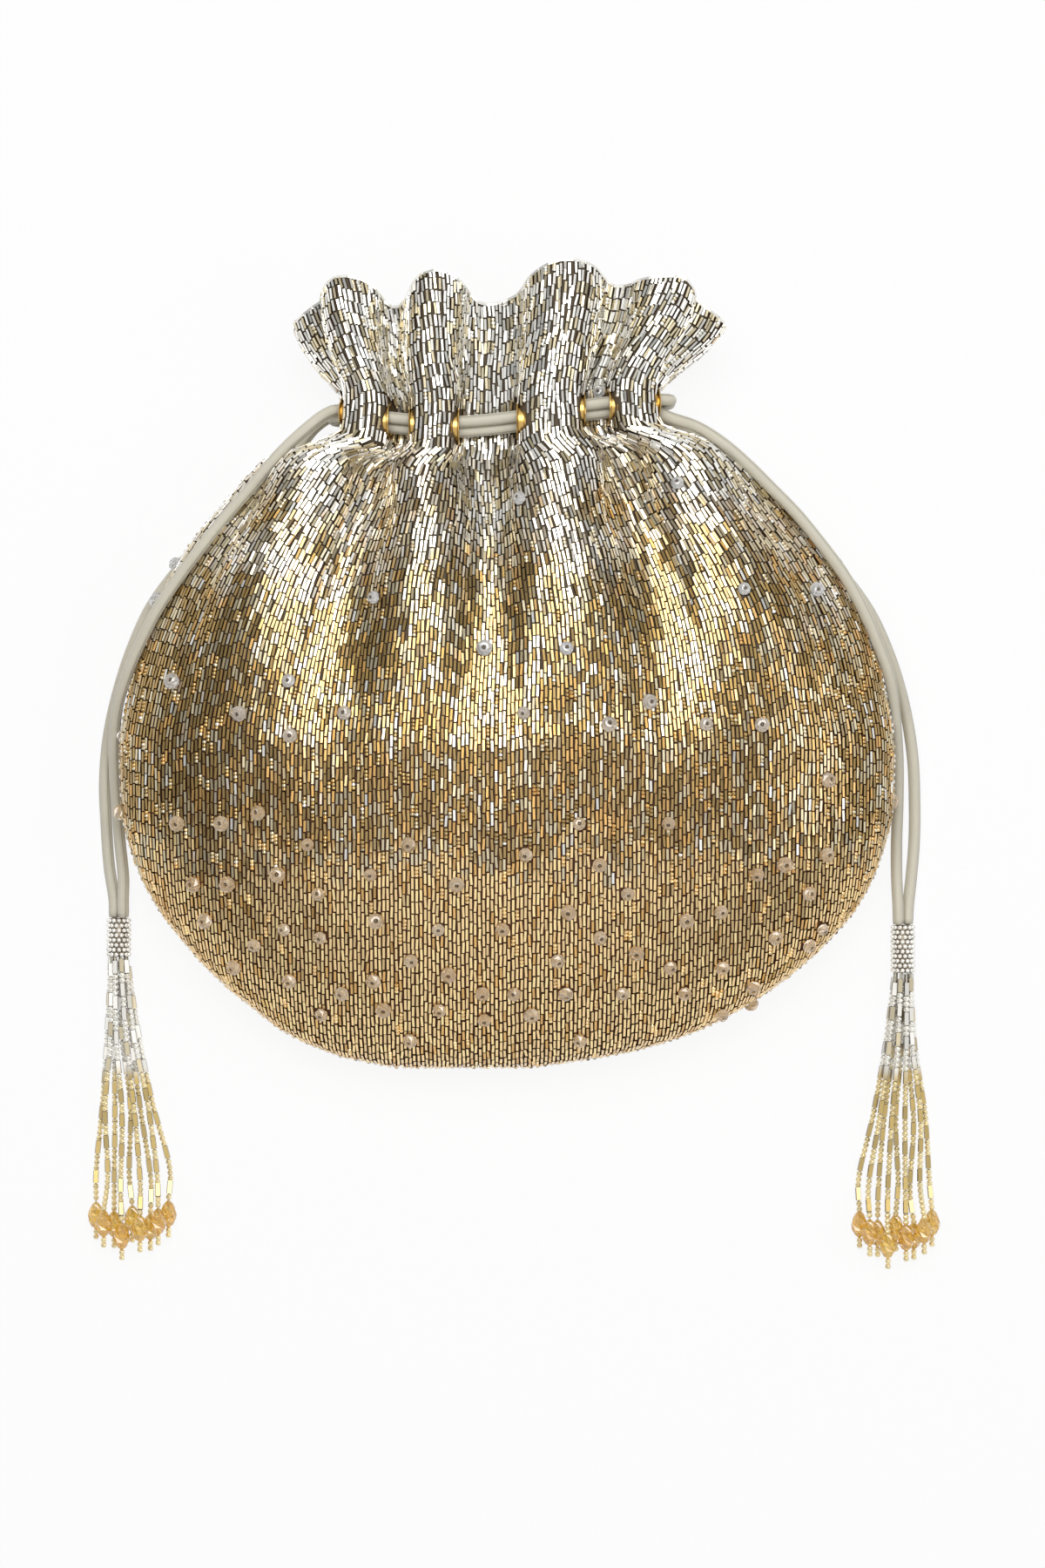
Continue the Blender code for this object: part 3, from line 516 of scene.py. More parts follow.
def drawstring_lines(side, diameter):
    """The fine lines of a drawstring's held stretch and of its front and back tails."""
    front_tail, back_tail = TAILS[side]
    held = held_route(side, diameter)
    over, under = tail_end_offsets(side, diameter)
    collar = beside_bag(COLLARS[side], side)
    route = [collar + over, *[beside_bag(p, side) for p in reversed(front_tail)], *held]
    route += [*[beside_bag(p, side) for p in back_tail], collar + under]
    line = smooth_route(route)
    along = lengths_along(line)
    fine = (len(line) - 1) // (len(route) - 1)
    first = along[(1 + len(front_tail)) * fine] - EYELET_STUB
    last = along[(len(front_tail) + len(held)) * fine] + EYELET_STUB
    return {
        "held": part_of(line, along, first, last),
        "front": part_of(line, along, GAP, first - GAP)[::-1],
        "back": part_of(line, along, last + GAP, along[-1] - GAP),
    }


def part_of(line, along, start, end):
    """Evenly spaced points of a line between two lengths along it."""
    count = max(2, round((end - start) / CORD_STEP) + 1)
    flat = np.array([tuple(p) for p in line])
    return [Vector(p) for p in read_at(np.linspace(start, end, count), along, flat)]


# Materials

BROAD_PATCHES = 38.0
SEED_LIGHT = (0.93, 0.91, 0.85)
SEED_DARK_AND_HOLE_SHADE = (0.14, 0.11, 0.08)
SEED_TAN = (0.62, 0.50, 0.32)
CRYSTAL_DEEP = (0.88, 0.60, 0.28)
DROP_DEEP = (0.92, 0.50, 0.05)
BRASS_WORN = (0.55, 0.36, 0.12)
PAINTED_SIDE_SHADE = (0.11, 0.055, 0.025)


def new_material(name):
    material = bpy.data.materials.new(name)
    material.use_nodes = True
    tree = material.node_tree
    return material, tree, tree.nodes["Principled BSDF"]


def node(tree, kind, **settings):
    made = tree.nodes.new(kind)
    for name, value in settings.items():
        setattr(made, name, value)
    return made


def math_node(tree, operation, one, two=0.0, clamp=False):
    made = node(tree, "ShaderNodeMath", operation=operation, use_clamp=clamp)
    for socket, value in zip(made.inputs, (one, two)):
        put(tree, value, socket)
    return made.outputs[0]


def put(tree, value, socket):
    """Links a socket to a socket, or sets a plain value on it."""
    if isinstance(value, bpy.types.NodeSocket):
        tree.links.new(value, socket)
    elif hasattr(value, "__len__") and len(value) == 3 and socket.type == "RGBA":
        socket.default_value = (*value, 1.0)
    else:
        socket.default_value = value


def feed(tree, fed, **values):
    """Puts values on a node's inputs, each under its name with _ for a space."""
    for name, value in values.items():
        put(tree, value, fed.inputs[name.replace("_", " ")])


def scaled(tree, value, scale, shift):
    return math_node(tree, "ADD", math_node(tree, "MULTIPLY", value, scale), shift)


def mix_colors(tree, share, one, two, blend="MIX"):
    made = node(tree, "ShaderNodeMix", data_type="RGBA", blend_type=blend)
    put(tree, share, made.inputs[0])
    put(tree, one, made.inputs[6])
    put(tree, two, made.inputs[7])
    return made.outputs[2]


def fade(tree, value, start, end):
    """0 at start and 1 at end, smoothly."""
    made = node(tree, "ShaderNodeMapRange", interpolation_type="SMOOTHSTEP")
    feed(tree, made, Value=value, From_Min=start, From_Max=end)
    return made.outputs["Result"]


def noise(tree, position, scale, detail=2.0):
    made = node(tree, "ShaderNodeTexNoise")
    feed(tree, made, Vector=position, Scale=scale, Detail=detail)
    return made.outputs["Fac"]


def bump(tree, shader, height, strength, distance):
    made = node(tree, "ShaderNodeBump")
    feed(tree, made, Strength=strength, Distance=distance, Height=height)
    feed(tree, shader, Normal=made.outputs["Normal"])


def bead_values(tree):
    """The three random values that each bead carries in its attribute."""
    own = node(tree, "ShaderNodeAttribute", attribute_name="bead")
    parts = node(tree, "ShaderNodeSeparateColor")
    tree.links.new(own.outputs["Color"], parts.inputs[0])
    return parts.outputs


def axes_of(tree, vector):
    parts = node(tree, "ShaderNodeSeparateXYZ")
    tree.links.new(vector, parts.inputs[0])
    return parts.outputs


def new_group(name, inputs, outputs):
    """A shader node group with named sockets; returns it with its ends."""
    group = bpy.data.node_groups.new(name, "ShaderNodeTree")
    for kind, side in ((inputs, "INPUT"), (outputs, "OUTPUT")):
        for label, socket_type in kind:
            group.interface.new_socket(name=label, in_out=side, socket_type=socket_type)
    return group, node(group, "NodeGroupInput"), node(group, "NodeGroupOutput")


def placed_group(tree, group, **values):
    made = node(tree, "ShaderNodeGroup", node_tree=group)
    feed(tree, made, **values)
    return made


def bead_tones_group():
    """Colours of single beads that turn from silver at the top to gold at the bottom."""
    name = "Bead Tones"
    if name in bpy.data.node_groups:
        return bpy.data.node_groups[name]
    names = ("Silver", "Champagne", "Olive", "Amber", "Gold", "Accent")
    colors = [(c, "NodeSocketColor") for c in names]
    heights = [(h, "NodeSocketFloat") for h in ("Silver Height", "Gold Height", "Spread")]
    group, given, result = new_group(
        name,
        [("Bead", "NodeSocketColor"), ("Position", "NodeSocketVector"), *colors, *heights],
        [("Color", "NodeSocketColor"), ("Roughness", "NodeSocketFloat"),
         ("Goldness", "NodeSocketFloat")],
    )
    bead = node(group, "ShaderNodeSeparateColor")
    group.links.new(given.outputs["Bead"], bead.inputs[0])
    tone, shade, gloss = bead.outputs
    level = axes_of(group, given.outputs["Position"])["Y"]
    broad = math_node(group, "SUBTRACT", noise(
        group, given.outputs["Position"], BROAD_PATCHES), 0.5)
    fine = math_node(group, "SUBTRACT", tone, 0.5)
    spread = given.outputs["Spread"]
    drift = math_node(group, "MULTIPLY", broad, math_node(group, "MULTIPLY", spread, 2.4))
    jitter = math_node(group, "MULTIPLY", fine, spread)
    height = math_node(group, "ADD", math_node(group, "ADD", level, drift), jitter)
    from_silver = math_node(group, "SUBTRACT", height, given.outputs["Silver Height"])
    silverness = fade(group, from_silver, -0.020, 0.026)
    ragged = math_node(group, "MULTIPLY", fine, 0.35)
    ragged = math_node(group, "MULTIPLY", math_node(group, "ADD", broad, ragged), spread)
    from_gold = math_node(group, "SUBTRACT", given.outputs["Gold Height"],
                          math_node(group, "ADD", level, ragged))
    goldness = fade(group, from_gold, -0.002, 0.003)
    top = mix_colors(group, fade(group, tone, 0.64, 0.72), given.outputs["Silver"],
                     given.outputs["Champagne"])
    middle = mix_colors(group, fade(group, tone, 0.50, 0.92), given.outputs["Olive"],
                        given.outputs["Champagne"])
    middle = mix_colors(group, fade(group, shade, 0.79, 0.83), middle, given.outputs["Amber"])
    middle = mix_colors(group, fade(group, shade, 0.95, 0.97), middle, given.outputs["Silver"])
    upper = mix_colors(group, silverness, middle, top)
    low = mix_colors(group, fade(group, shade, 0.90, 0.93), given.outputs["Gold"],
                     given.outputs["Accent"])
    color = mix_colors(group, goldness, upper, low)
    dimmed = mix_colors(group, 1.0, color, scaled(group, gloss, 0.36, 0.77), "MULTIPLY")
    rough = scaled(group, gloss, 0.12, 0.16)
    feed(group, result, Color=dimmed, Roughness=rough, Goldness=goldness)
    return group


def weave_group():
    """A woven thread height and shade from a surface's own UV map."""
    name = "Thread Weave"
    if name in bpy.data.node_groups:
        return bpy.data.node_groups[name]
    group, given, result = new_group(
        name,
        [("Vector", "NodeSocketVector"), ("Threads Across", "NodeSocketFloat"),
         ("Threads Along", "NodeSocketFloat")],
        [("Height", "NodeSocketFloat"), ("Shade", "NodeSocketFloat")],
    )
    place = axes_of(group, given.outputs["Vector"])
    waves = []
    for axis, count in (("X", "Threads Across"), ("Y", "Threads Along")):
        turns = math_node(group, "MULTIPLY", place[axis], given.outputs[count])
        wave = math_node(group, "SINE", math_node(group, "MULTIPLY", turns, 2 * math.pi))
        waves.append(scaled(group, wave, 0.5, 0.5))
    woven = math_node(group, "MULTIPLY", waves[0], waves[1])
    uneven = noise(group, given.outputs["Vector"], 9.0, 3.0)
    feed(group, result, Height=woven, Shade=scaled(group, uneven, 0.5, 0.72))
    return group


def finish(name):
    """Reads a finish by its name, making it the first time."""
    if name in bpy.data.materials:
        return bpy.data.materials[name]
    return FINISHES[name](name)


def bead_material(name, metallic, silver_height, gold_height, spread, gold, accent):
    colors = bpy.context.scene.pouch_colors
    material, tree, shader = new_material(name)
    own = node(tree, "ShaderNodeAttribute", attribute_name="bead")
    place = node(tree, "ShaderNodeTexCoord")
    tones = placed_group(
        tree, bead_tones_group(), Bead=own.outputs["Color"], Position=place.outputs["Object"],
        Silver=colors.silver, Champagne=colors.champagne, Olive=colors.olive,
        Amber=colors.amber, Gold=gold, Accent=accent, Silver_Height=silver_height,
        Gold_Height=gold_height, Spread=spread,
    )
    # painted shade: the glass is painted dark brown towards its sides and ends, where shade falls
    # between the beads
    sides = mix_colors(tree, own.outputs["Alpha"], PAINTED_SIDE_SHADE, (1.0, 1.0, 1.0))
    with_painted_shade = mix_colors(tree, 1.0, tones.outputs["Color"], sides, "MULTIPLY")
    coat = math_node(tree, "MULTIPLY", own.outputs["Alpha"], 0.45)
    feed(tree, shader, Base_Color=with_painted_shade, Roughness=tones.outputs["Roughness"],
         Metallic=metallic, Coat_Weight=coat, Coat_Roughness=0.05, Coat_IOR=2.1)
    return material


def bugle_finish(name):
    colors = bpy.context.scene.pouch_colors
    return bead_material(
        name, metallic=0.85, silver_height=0.030, gold_height=-0.052, spread=0.045,
        gold=colors.gold, accent=colors.amber,
    )


def strand_finish(name):
    colors = bpy.context.scene.pouch_colors
    return bead_material(
        name, metallic=0.6, silver_height=-0.150, gold_height=-0.117, spread=0.010,
        gold=colors.strand_gold, accent=colors.strand_pale,
    )


def backing_finish(name):
    colors = bpy.context.scene.pouch_colors
    material, tree, shader = new_material(name)
    place = node(tree, "ShaderNodeTexCoord")
    weave = placed_group(tree, weave_group(), Vector=place.outputs["UV"],
                         Threads_Across=420.0, Threads_Along=420.0)
    level = axes_of(tree, place.outputs["Object"])["Y"]
    drift = math_node(tree, "MULTIPLY", noise(tree, place.outputs["Object"], BROAD_PATCHES), 0.05)
    upper = fade(tree, math_node(tree, "ADD", level, drift), -0.02, 0.05)
    # the cloth is painted darker than its own brown, as painted shade in the gaps between the beads
    color = mix_colors(tree, upper, colors.lower_cloth_and_gap_shade, colors.upper_cloth_and_gap_shade)
    color = mix_colors(tree, 1.0, color, weave.outputs["Shade"], "MULTIPLY")
    feed(tree, shader, Base_Color=color, Roughness=0.7)
    bump(tree, shader, weave.outputs["Height"], 0.4, 0.0002)
    return material


def satin(name, color, across, along, sheen, seam):
    """Satin whose fine threads follow the piece's UV map; a seam runs along a cord."""
    material, tree, shader = new_material(name)
    place = node(tree, "ShaderNodeTexCoord")
    weave = placed_group(tree, weave_group(), Vector=place.outputs["UV"],
                         Threads_Across=across, Threads_Along=along)
    shaded = mix_colors(tree, 0.5, color, weave.outputs["Shade"], "MULTIPLY")
    height = weave.outputs["Height"]
    if seam:
        side = axes_of(tree, place.outputs["UV"])["X"]
        waver = math_node(tree, "MULTIPLY", noise(tree, place.outputs["UV"], 60.0), 0.03)
        off = math_node(tree, "ABSOLUTE", math_node(
            tree, "SUBTRACT", math_node(tree, "ADD", side, waver), 0.40))
        groove = fade(tree, off, 0.03, 0.0)
        shaded = mix_colors(tree, math_node(tree, "MULTIPLY", groove, 0.55), shaded,
                            tuple(c * 0.35 for c in color))
        stretched = node(tree, "ShaderNodeMapping")
        feed(tree, stretched, Scale=(1.0, 260.0, 1.0), Vector=place.outputs["UV"])
        pucker = noise(tree, stretched.outputs["Vector"], 2.2, 3.0)
        height = math_node(tree, "SUBTRACT", math_node(tree, "ADD", math_node(
            tree, "MULTIPLY", height, 0.15), pucker), math_node(tree, "MULTIPLY", groove, 0.9))
    feed(tree, shader, Base_Color=shaded, Roughness=0.48, Sheen_Weight=sheen,
         Sheen_Roughness=0.4)
    bump(tree, shader, height, 0.45, 0.0004)
    return material


def cord_finish(name):
    cord = tuple(bpy.context.scene.pouch_colors.cord)
    return satin(name, cord, across=24.0, along=5200.0, sheen=0.25, seam=True)


def lining_finish(name):
    lining = tuple(bpy.context.scene.pouch_colors.lining)
    return satin(name, lining, across=900.0, along=700.0, sheen=0.3, seam=False)


def brass_finish(name):
    material, tree, shader = new_material(name)
    place = node(tree, "ShaderNodeTexCoord")
    worn = noise(tree, place.outputs["Object"], 900.0, 4.0)
    brass = tuple(bpy.context.scene.pouch_colors.brass)
    color = mix_colors(tree, worn, brass, BRASS_WORN)
    feed(tree, shader, Base_Color=color, Roughness=scaled(tree, worn, 0.25, 0.14), Metallic=1.0)
    bump(tree, shader, worn, 0.08, 0.0001)
    return material


def silver_finish(name):
    """Small silver-lined seed beads, some of them dark or tan. On the crystals' pins the dark
    colour is painted shade of the crystals' holes.
    """
    material, tree, shader = new_material(name)
    tone, shade, gloss = bead_values(tree)
    color = mix_colors(tree, fade(tree, tone, 0.6, 0.95), SEED_LIGHT, SEED_DARK_AND_HOLE_SHADE)
    color = mix_colors(tree, fade(tree, shade, 0.8, 0.85), color, SEED_TAN)
    feed(tree, shader, Base_Color=color, Roughness=scaled(tree, gloss, 0.2, 0.15),
         Metallic=0.8, Coat_Weight=0.5)
    return material


def glass(name, color, deep, upper, roughness):
    """Faceted glass whose tint is deeper in some beads; upper is its tint at the top."""
    material, tree, shader = new_material(name)
    place = node(tree, "ShaderNodeTexCoord").outputs["Object"]
    cloud = math_node(tree, "ADD", bead_values(tree)[0], noise(tree, place, 260.0))
    tint = mix_colors(tree, math_node(tree, "MULTIPLY", cloud, 0.5), color, deep)
    tint = mix_colors(tree, fade(tree, axes_of(tree, place)["Y"], -0.045, 0.01), tint, upper)
    feed(tree, shader, Base_Color=tint, Roughness=roughness, Transmission_Weight=0.6, IOR=1.52,
         Coat_Weight=1.0, Coat_Roughness=0.03, Coat_IOR=1.7)
    return material


def crystal_finish(name):
    colors = bpy.context.scene.pouch_colors
    return glass(name, tuple(colors.crystal), CRYSTAL_DEEP, tuple(colors.clear), roughness=0.02)


def drop_finish(name):
    drop = tuple(bpy.context.scene.pouch_colors.drop)
    return glass(name, drop, DROP_DEEP, drop, roughness=0.03)


FINISHES = {
    "bugle_glass": bugle_finish, "strand_glass": strand_finish, "beadwork_backing": backing_finish,
    "cord_satin_fine": cord_finish, "lining_satin_fine": lining_finish,
    "eyelet_brass_fine": brass_finish, "seed_silver": silver_finish,
    "crystal_glass": crystal_finish, "drop_glass": drop_finish,
}


# Shaping

def deselect():
    if bpy.context.object and bpy.context.object.mode != "OBJECT":
        bpy.ops.object.mode_set(mode="OBJECT")
    bpy.ops.object.select_all(action="DESELECT")


def pick(item):
    deselect()
    item.select_set(True)
    bpy.context.view_layer.objects.active = item


def edit_all(item):
    """Opens a piece for editing, with all of it selected."""
    pick(item)
    bpy.ops.object.mode_set(mode="EDIT")
    bpy.ops.mesh.select_all(action="SELECT")


def thickened(item, thickness):
    """Gives a sheet its thickness, half of it to each side."""
    modifier = item.modifiers.new("cloth", "SOLIDIFY")
    modifier.thickness = thickness
    modifier.offset = 0.0
    pick(item)
    bpy.ops.object.modifier_apply(modifier=modifier.name)
    item.data.shade_smooth()


def dress(item, name, material, slot, *stands_for):
    """Names a finished piece, gives it its finish and lets it ride on the pouch."""
    item.name = name
    item.data.name = name
    item.data.materials.clear()
    item.data.materials.append(finish(material))
    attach(item, "root")
    if stands_for:
        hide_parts(*stands_for)
    return item


def turned(profile, sides, twist=0.0):
    """A piece drawn up from a circle, ring by ring: (height, radius) pairs. It is closed
    into a ring where its last pair is its first, and by its end faces otherwise."""
    deselect()
    height, radius = profile[0]
    bpy.ops.mesh.primitive_circle_add(
        vertices=sides, radius=radius, fill_type="NOTHING", location=(0, 0, 0)
    )
    item = bpy.context.active_object
    edit_all(item)
    bpy.ops.transform.translate(value=(0, 0, height))
    for (low, inner), (high, outer) in zip(profile[:-1], profile[1:]):
        bpy.ops.mesh.extrude_region_move(TRANSFORM_OT_translate={"value": (0, 0, high - low)})
        bpy.ops.transform.resize(
            value=(outer / inner, outer / inner, 1), center_override=(0, 0, high)
        )
        if twist:
            bpy.ops.transform.rotate(value=twist, orient_axis="Z", center_override=(0, 0, high))
    bpy.ops.mesh.select_all(action="SELECT")
    bpy.ops.mesh.remove_doubles(threshold=0.000001)
    if profile[0] != profile[-1]:
        bpy.ops.mesh.fill_holes(sides=0)
        bpy.ops.mesh.select_all(action="SELECT")
    bpy.ops.mesh.normals_make_consistent(inside=False)
    bpy.ops.object.mode_set(mode="OBJECT")
    return item


def taken(item):
    """A pattern's points, faces and how far each point is kept from the painted shade of a bead's
    sides and ends (1 for none); the pattern is removed.
    """
    mesh = item.data
    points = np.empty(len(mesh.vertices) * 3)
    mesh.vertices.foreach_get("co", points)
    faces = [list(face.vertices) for face in mesh.polygons]
    bpy.data.objects.remove(item, do_unlink=True)
    return points.reshape(-1, 3), faces, np.ones(len(points) // 3)


def bugle_pattern(sizes):
    """A cut glass tube with a broad flat face on top, its ends pressed in a little."""
    deselect()
    bpy.ops.mesh.primitive_cylinder_add(
        vertices=6, radius=sizes.bugle_width / 2, depth=1.0, end_fill_type="TRIFAN"
    )
    item = bpy.context.active_object
    bpy.ops.object.mode_set(mode="EDIT")
    bpy.ops.mesh.select_all(action="DESELECT")
    bpy.ops.object.mode_set(mode="OBJECT")
    for vert in item.data.vertices:
        if math.hypot(vert.co.x, vert.co.y) < sizes.bugle_width / 10:
            vert.select = True
    bpy.ops.object.mode_set(mode="EDIT")
    bpy.ops.transform.resize(value=(1, 1, 0.93), center_override=(0, 0, 0))
    bpy.ops.mesh.select_all(action="SELECT")
    bpy.ops.transform.rotate(value=math.pi / 6, orient_axis="Z", center_override=(0, 0, 0))
    bpy.ops.mesh.select_all(action="DESELECT")
    bpy.ops.object.mode_set(mode="OBJECT")
    for vert in item.data.vertices:
        vert.select = abs(vert.co.y) > sizes.bugle_width / 4
    bpy.ops.object.mode_set(mode="EDIT")
    bpy.ops.transform.resize(value=(1.45, 1, 1), center_override=(0, 0, 0))
    bpy.ops.object.mode_set(mode="OBJECT")
    points, faces, _ = taken(item)
    # the top face stays bright; the sides and ends are marked for painted shade
    return points, faces, np.where(points[:, 1] > sizes.bugle_width / 4, 1.0, 0.0)


def seed_pattern(sizes):
    """A small round bead, a little shorter than it is wide."""
    half = sizes.seed_size / 2
    profile = [(-0.42, 0.45), (-0.28, 0.86), (0.0, 1.0), (0.28, 0.86), (0.42, 0.45)]
    return taken(turned([(h * 2 * half, r * half) for h, r in profile], 6))


def crystal_pattern(sizes):
    """A faceted glass bead with a hole down its middle."""
    r = sizes.crystal_size / 2
    profile = [
        (-0.34, 0.28), (-0.40, 0.6), (-0.14, 1.0), (0.16, 1.0), (0.46, 0.62), (0.50, 0.30),
        (0.20, 0.16), (-0.34, 0.16), (-0.34, 0.28),
    ]
    return taken(turned([(h * r * 1.5, w * r) for h, w in profile], 8, math.radians(22.5)))


def drop_pattern(sizes):
    """A faceted oval drop with a small waist where the thread goes in."""
    r, tall = sizes.drop_width / 2, sizes.drop_length
    profile = [
        (-0.50, 0.14), (-0.42, 0.52), (-0.22, 0.92), (-0.02, 1.0), (0.20, 0.86), (0.40, 0.50),
        (0.50, 0.15),
    ]
    return taken(turned([(h * tall, w * r) for h, w in profile], 8, math.radians(22.5)))


def copies(name, batches, smooth):
    """One mesh of many copies. Each batch is a pattern and its places: middles, three
    axes scaled to the bead, and a colour of three random values for each bead."""
    points, colors, loops, corners = [], [], [], []
    base = 0
    for (pattern, faces, clear), middles, sides, ups, alongs, tints in batches:
        if len(middles) == 0:
            continue
        made = (
            middles[:, None, :] + pattern[None, :, 0:1] * sides[:, None, :]
            + pattern[None, :, 1:2] * ups[:, None, :] + pattern[None, :, 2:3] * alongs[:, None, :]
        )
        count = len(pattern)
        points.append(made.reshape(-1, 3))
        # the fourth value is the pattern's mark for painted shade on a bead's sides and ends
        colors.append(np.concatenate((
            np.repeat(tints, count, axis=0), np.tile(clear, len(middles))[:, None]), axis=1))
        flat = np.concatenate([np.array(face) for face in faces])
        offsets = base + np.arange(len(middles))[:, None] * count
        loops.append((flat[None, :] + offsets).reshape(-1))
        corners.append(np.tile([len(face) for face in faces], len(middles)))
        base += len(middles) * count
    points, colors = np.concatenate(points), np.concatenate(colors)
    loops, corners = np.concatenate(loops), np.concatenate(corners)
    mesh = bpy.data.meshes.new(name)
    mesh.vertices.add(len(points))
    mesh.vertices.foreach_set("co", points.reshape(-1))
    mesh.loops.add(len(loops))
    mesh.loops.foreach_set("vertex_index", loops.astype(np.int32))
    mesh.polygons.add(len(corners))
    first = np.concatenate(([0], np.cumsum(corners)[:-1]))
    mesh.polygons.foreach_set("loop_start", first.astype(np.int32))
    mesh.update(calc_edges=True)
    own = mesh.attributes.new("bead", "FLOAT_COLOR", "POINT")
    own.data.foreach_set("color", colors.reshape(-1))
    if smooth:
        mesh.shade_smooth()
        mesh.set_sharp_from_angle(angle=math.radians(smooth))
    else:
        mesh.shade_flat()
    item = bpy.data.objects.new(name, mesh)
    bpy.context.scene.collection.objects.link(item)
    return item


def turned_axes(alongs, ups):
    """Three unit axes for each bead, from the way that it points and the way out."""
    alongs = alongs / np.linalg.norm(alongs, axis=1, keepdims=True)
    ups = ups - alongs * np.sum(ups * alongs, axis=1, keepdims=True)
    ups /= np.maximum(np.linalg.norm(ups, axis=1, keepdims=True), 1e-9)
    return np.cross(ups, alongs), ups, alongs


def grid_surface(name, rows):
    """A sheet drawn from a grid whose points are moved to rows of places."""
    deselect()
    tall, wide = rows.shape[0] - 1, rows.shape[1] - 1
    bpy.ops.mesh.primitive_grid_add(x_subdivisions=wide, y_subdivisions=tall, size=1.0)
    item = bpy.context.active_object
    item.name = name
    flat = np.empty(len(item.data.vertices) * 3)
    item.data.vertices.foreach_get("co", flat)
    flat = flat.reshape(-1, 3)
    column = np.rint((flat[:, 0] + 0.5) * wide).astype(int)
    row = np.rint((0.5 - flat[:, 1]) * tall).astype(int)
    item.data.vertices.foreach_set("co", rows[row, column].reshape(-1))
    item.data.update()
    return item


def tube(name, line, width, sides=16):
    """A mesh cord along a line of close points, with a UV map round it and along it."""
    count = len(line)
    item = bpy.data.objects.new(name, bpy.data.meshes.new(name))
    bpy.context.scene.collection.objects.link(item)
    tangents = [(line[min(i + 1, count - 1)] - line[max(i - 1, 0)]).normalized()
                for i in range(count)]
    up = Vector((0, 0, 1))
    points, along = [], lengths_along(line)
    for i, (middle, way) in enumerate(zip(line, tangents)):
        up = (up - way * up.dot(way)).normalized()
        side = way.cross(up)
        if i in (0, count - 1):
            points += [tuple(middle - way * (width * 0.12 * (1 if i == 0 else -1)))]
        for k in range(sides):
            turn = 2 * math.pi * k / sides
            size = width / 2 * (0.93 if i in (0, count - 1) else 1.0)
            points.append(tuple(middle + side * (size * math.cos(turn))
                                + up * (size * math.sin(turn))))
    first, last = 0, 1 + (count - 1) * sides
    rings = [1 + i * sides for i in range(count - 1)] + [last + 1]
    faces, uvs = [], []
    for k in range(sides):
        j = (k + 1) % sides
        faces.append((first, 1 + j, 1 + k))
        uvs.append(((k / sides, 0), ((k + 1) / sides, 0), (k / sides, 0)))
        faces.append((last, rings[-1] + k, rings[-1] + j))
        uvs.append(((k / sides, along[-1]),) * 3)
    for i in range(count - 1):
        for k in range(sides):
            j = (k + 1) % sides
            faces.append((rings[i] + k, rings[i] + j, rings[i + 1] + j, rings[i + 1] + k))
            u, v = k / sides, (k + 1) / sides
            uvs.append(((u, along[i]), (v, along[i]), (v, along[i + 1]), (u, along[i + 1])))
    item.data.from_pydata(points, [], faces)
    layer = item.data.uv_layers.new(name="UVMap")
    layer.data.foreach_set("uv", np.array([c for face in uvs for uv in face for c in uv]))
    item.data.update()
    item.data.validate()
    edit_all(item)
    bpy.ops.mesh.normals_make_consistent(inside=False)
    bpy.ops.object.mode_set(mode="OBJECT")
    item.data.shade_smooth()
    return item


# Beadwork

def bead_columns(table, pitch):
    """The share across each row at which every column of bugles runs, and where it is
    alive. Columns keep their spacing: some end on the way up to the neck, and below the
    belly they run straight down to the seam."""
    arcs, points, even = table["arcs"], table["points"], table["even"]
    belly = int(np.argmin(np.abs(table["places"] - BELLY)))
    count = int(arcs[belly] / pitch)
    rank = (np.arange(count) * GOLDEN) % 1.0
    room = np.clip(arcs / (count * pitch), 0.0, 1.0)
    weight = np.clip((room[:, None] - rank[None, :]) / 0.03 + 1.0, 0.0, 1.0)
    weight[belly:] = 1.0
    share = (np.cumsum(weight, axis=1) - weight / 2) / np.sum(weight, axis=1, keepdims=True)
    centre = [np.interp(0.0, points[r, :, 0], even) for r in range(belly, len(arcs))]
    spread = (share[belly] - centre[0]) * arcs[belly]
    for r in range(belly, len(arcs)):
        share[r] = centre[r - belly] + spread / max(arcs[r], pitch)
    edge = COLUMN_EDGE * pitch / np.maximum(arcs, pitch)[:, None]
    alive = (weight > 0.5) & (share > edge) & (share < 1 - edge)
    return share, alive


def across(table, key, share):
    """Reads a row-wise table at a share across each of its rows, for every column."""
    even, values = table["even"], table[key]
    out = np.empty((*share.shape, 3))
    for r in range(len(values)):
        out[r] = read_at(share[r], even, values[r])
    return out


def runs_of(alive):
    """The (start, end) of each stretch of rows in which a column is alive."""
    edges = np.flatnonzero(np.diff(np.concatenate(([0], alive.astype(int), [0]))))
    return [(a, b) for a, b in zip(edges[::2], edges[1::2]) if b - a > 2]


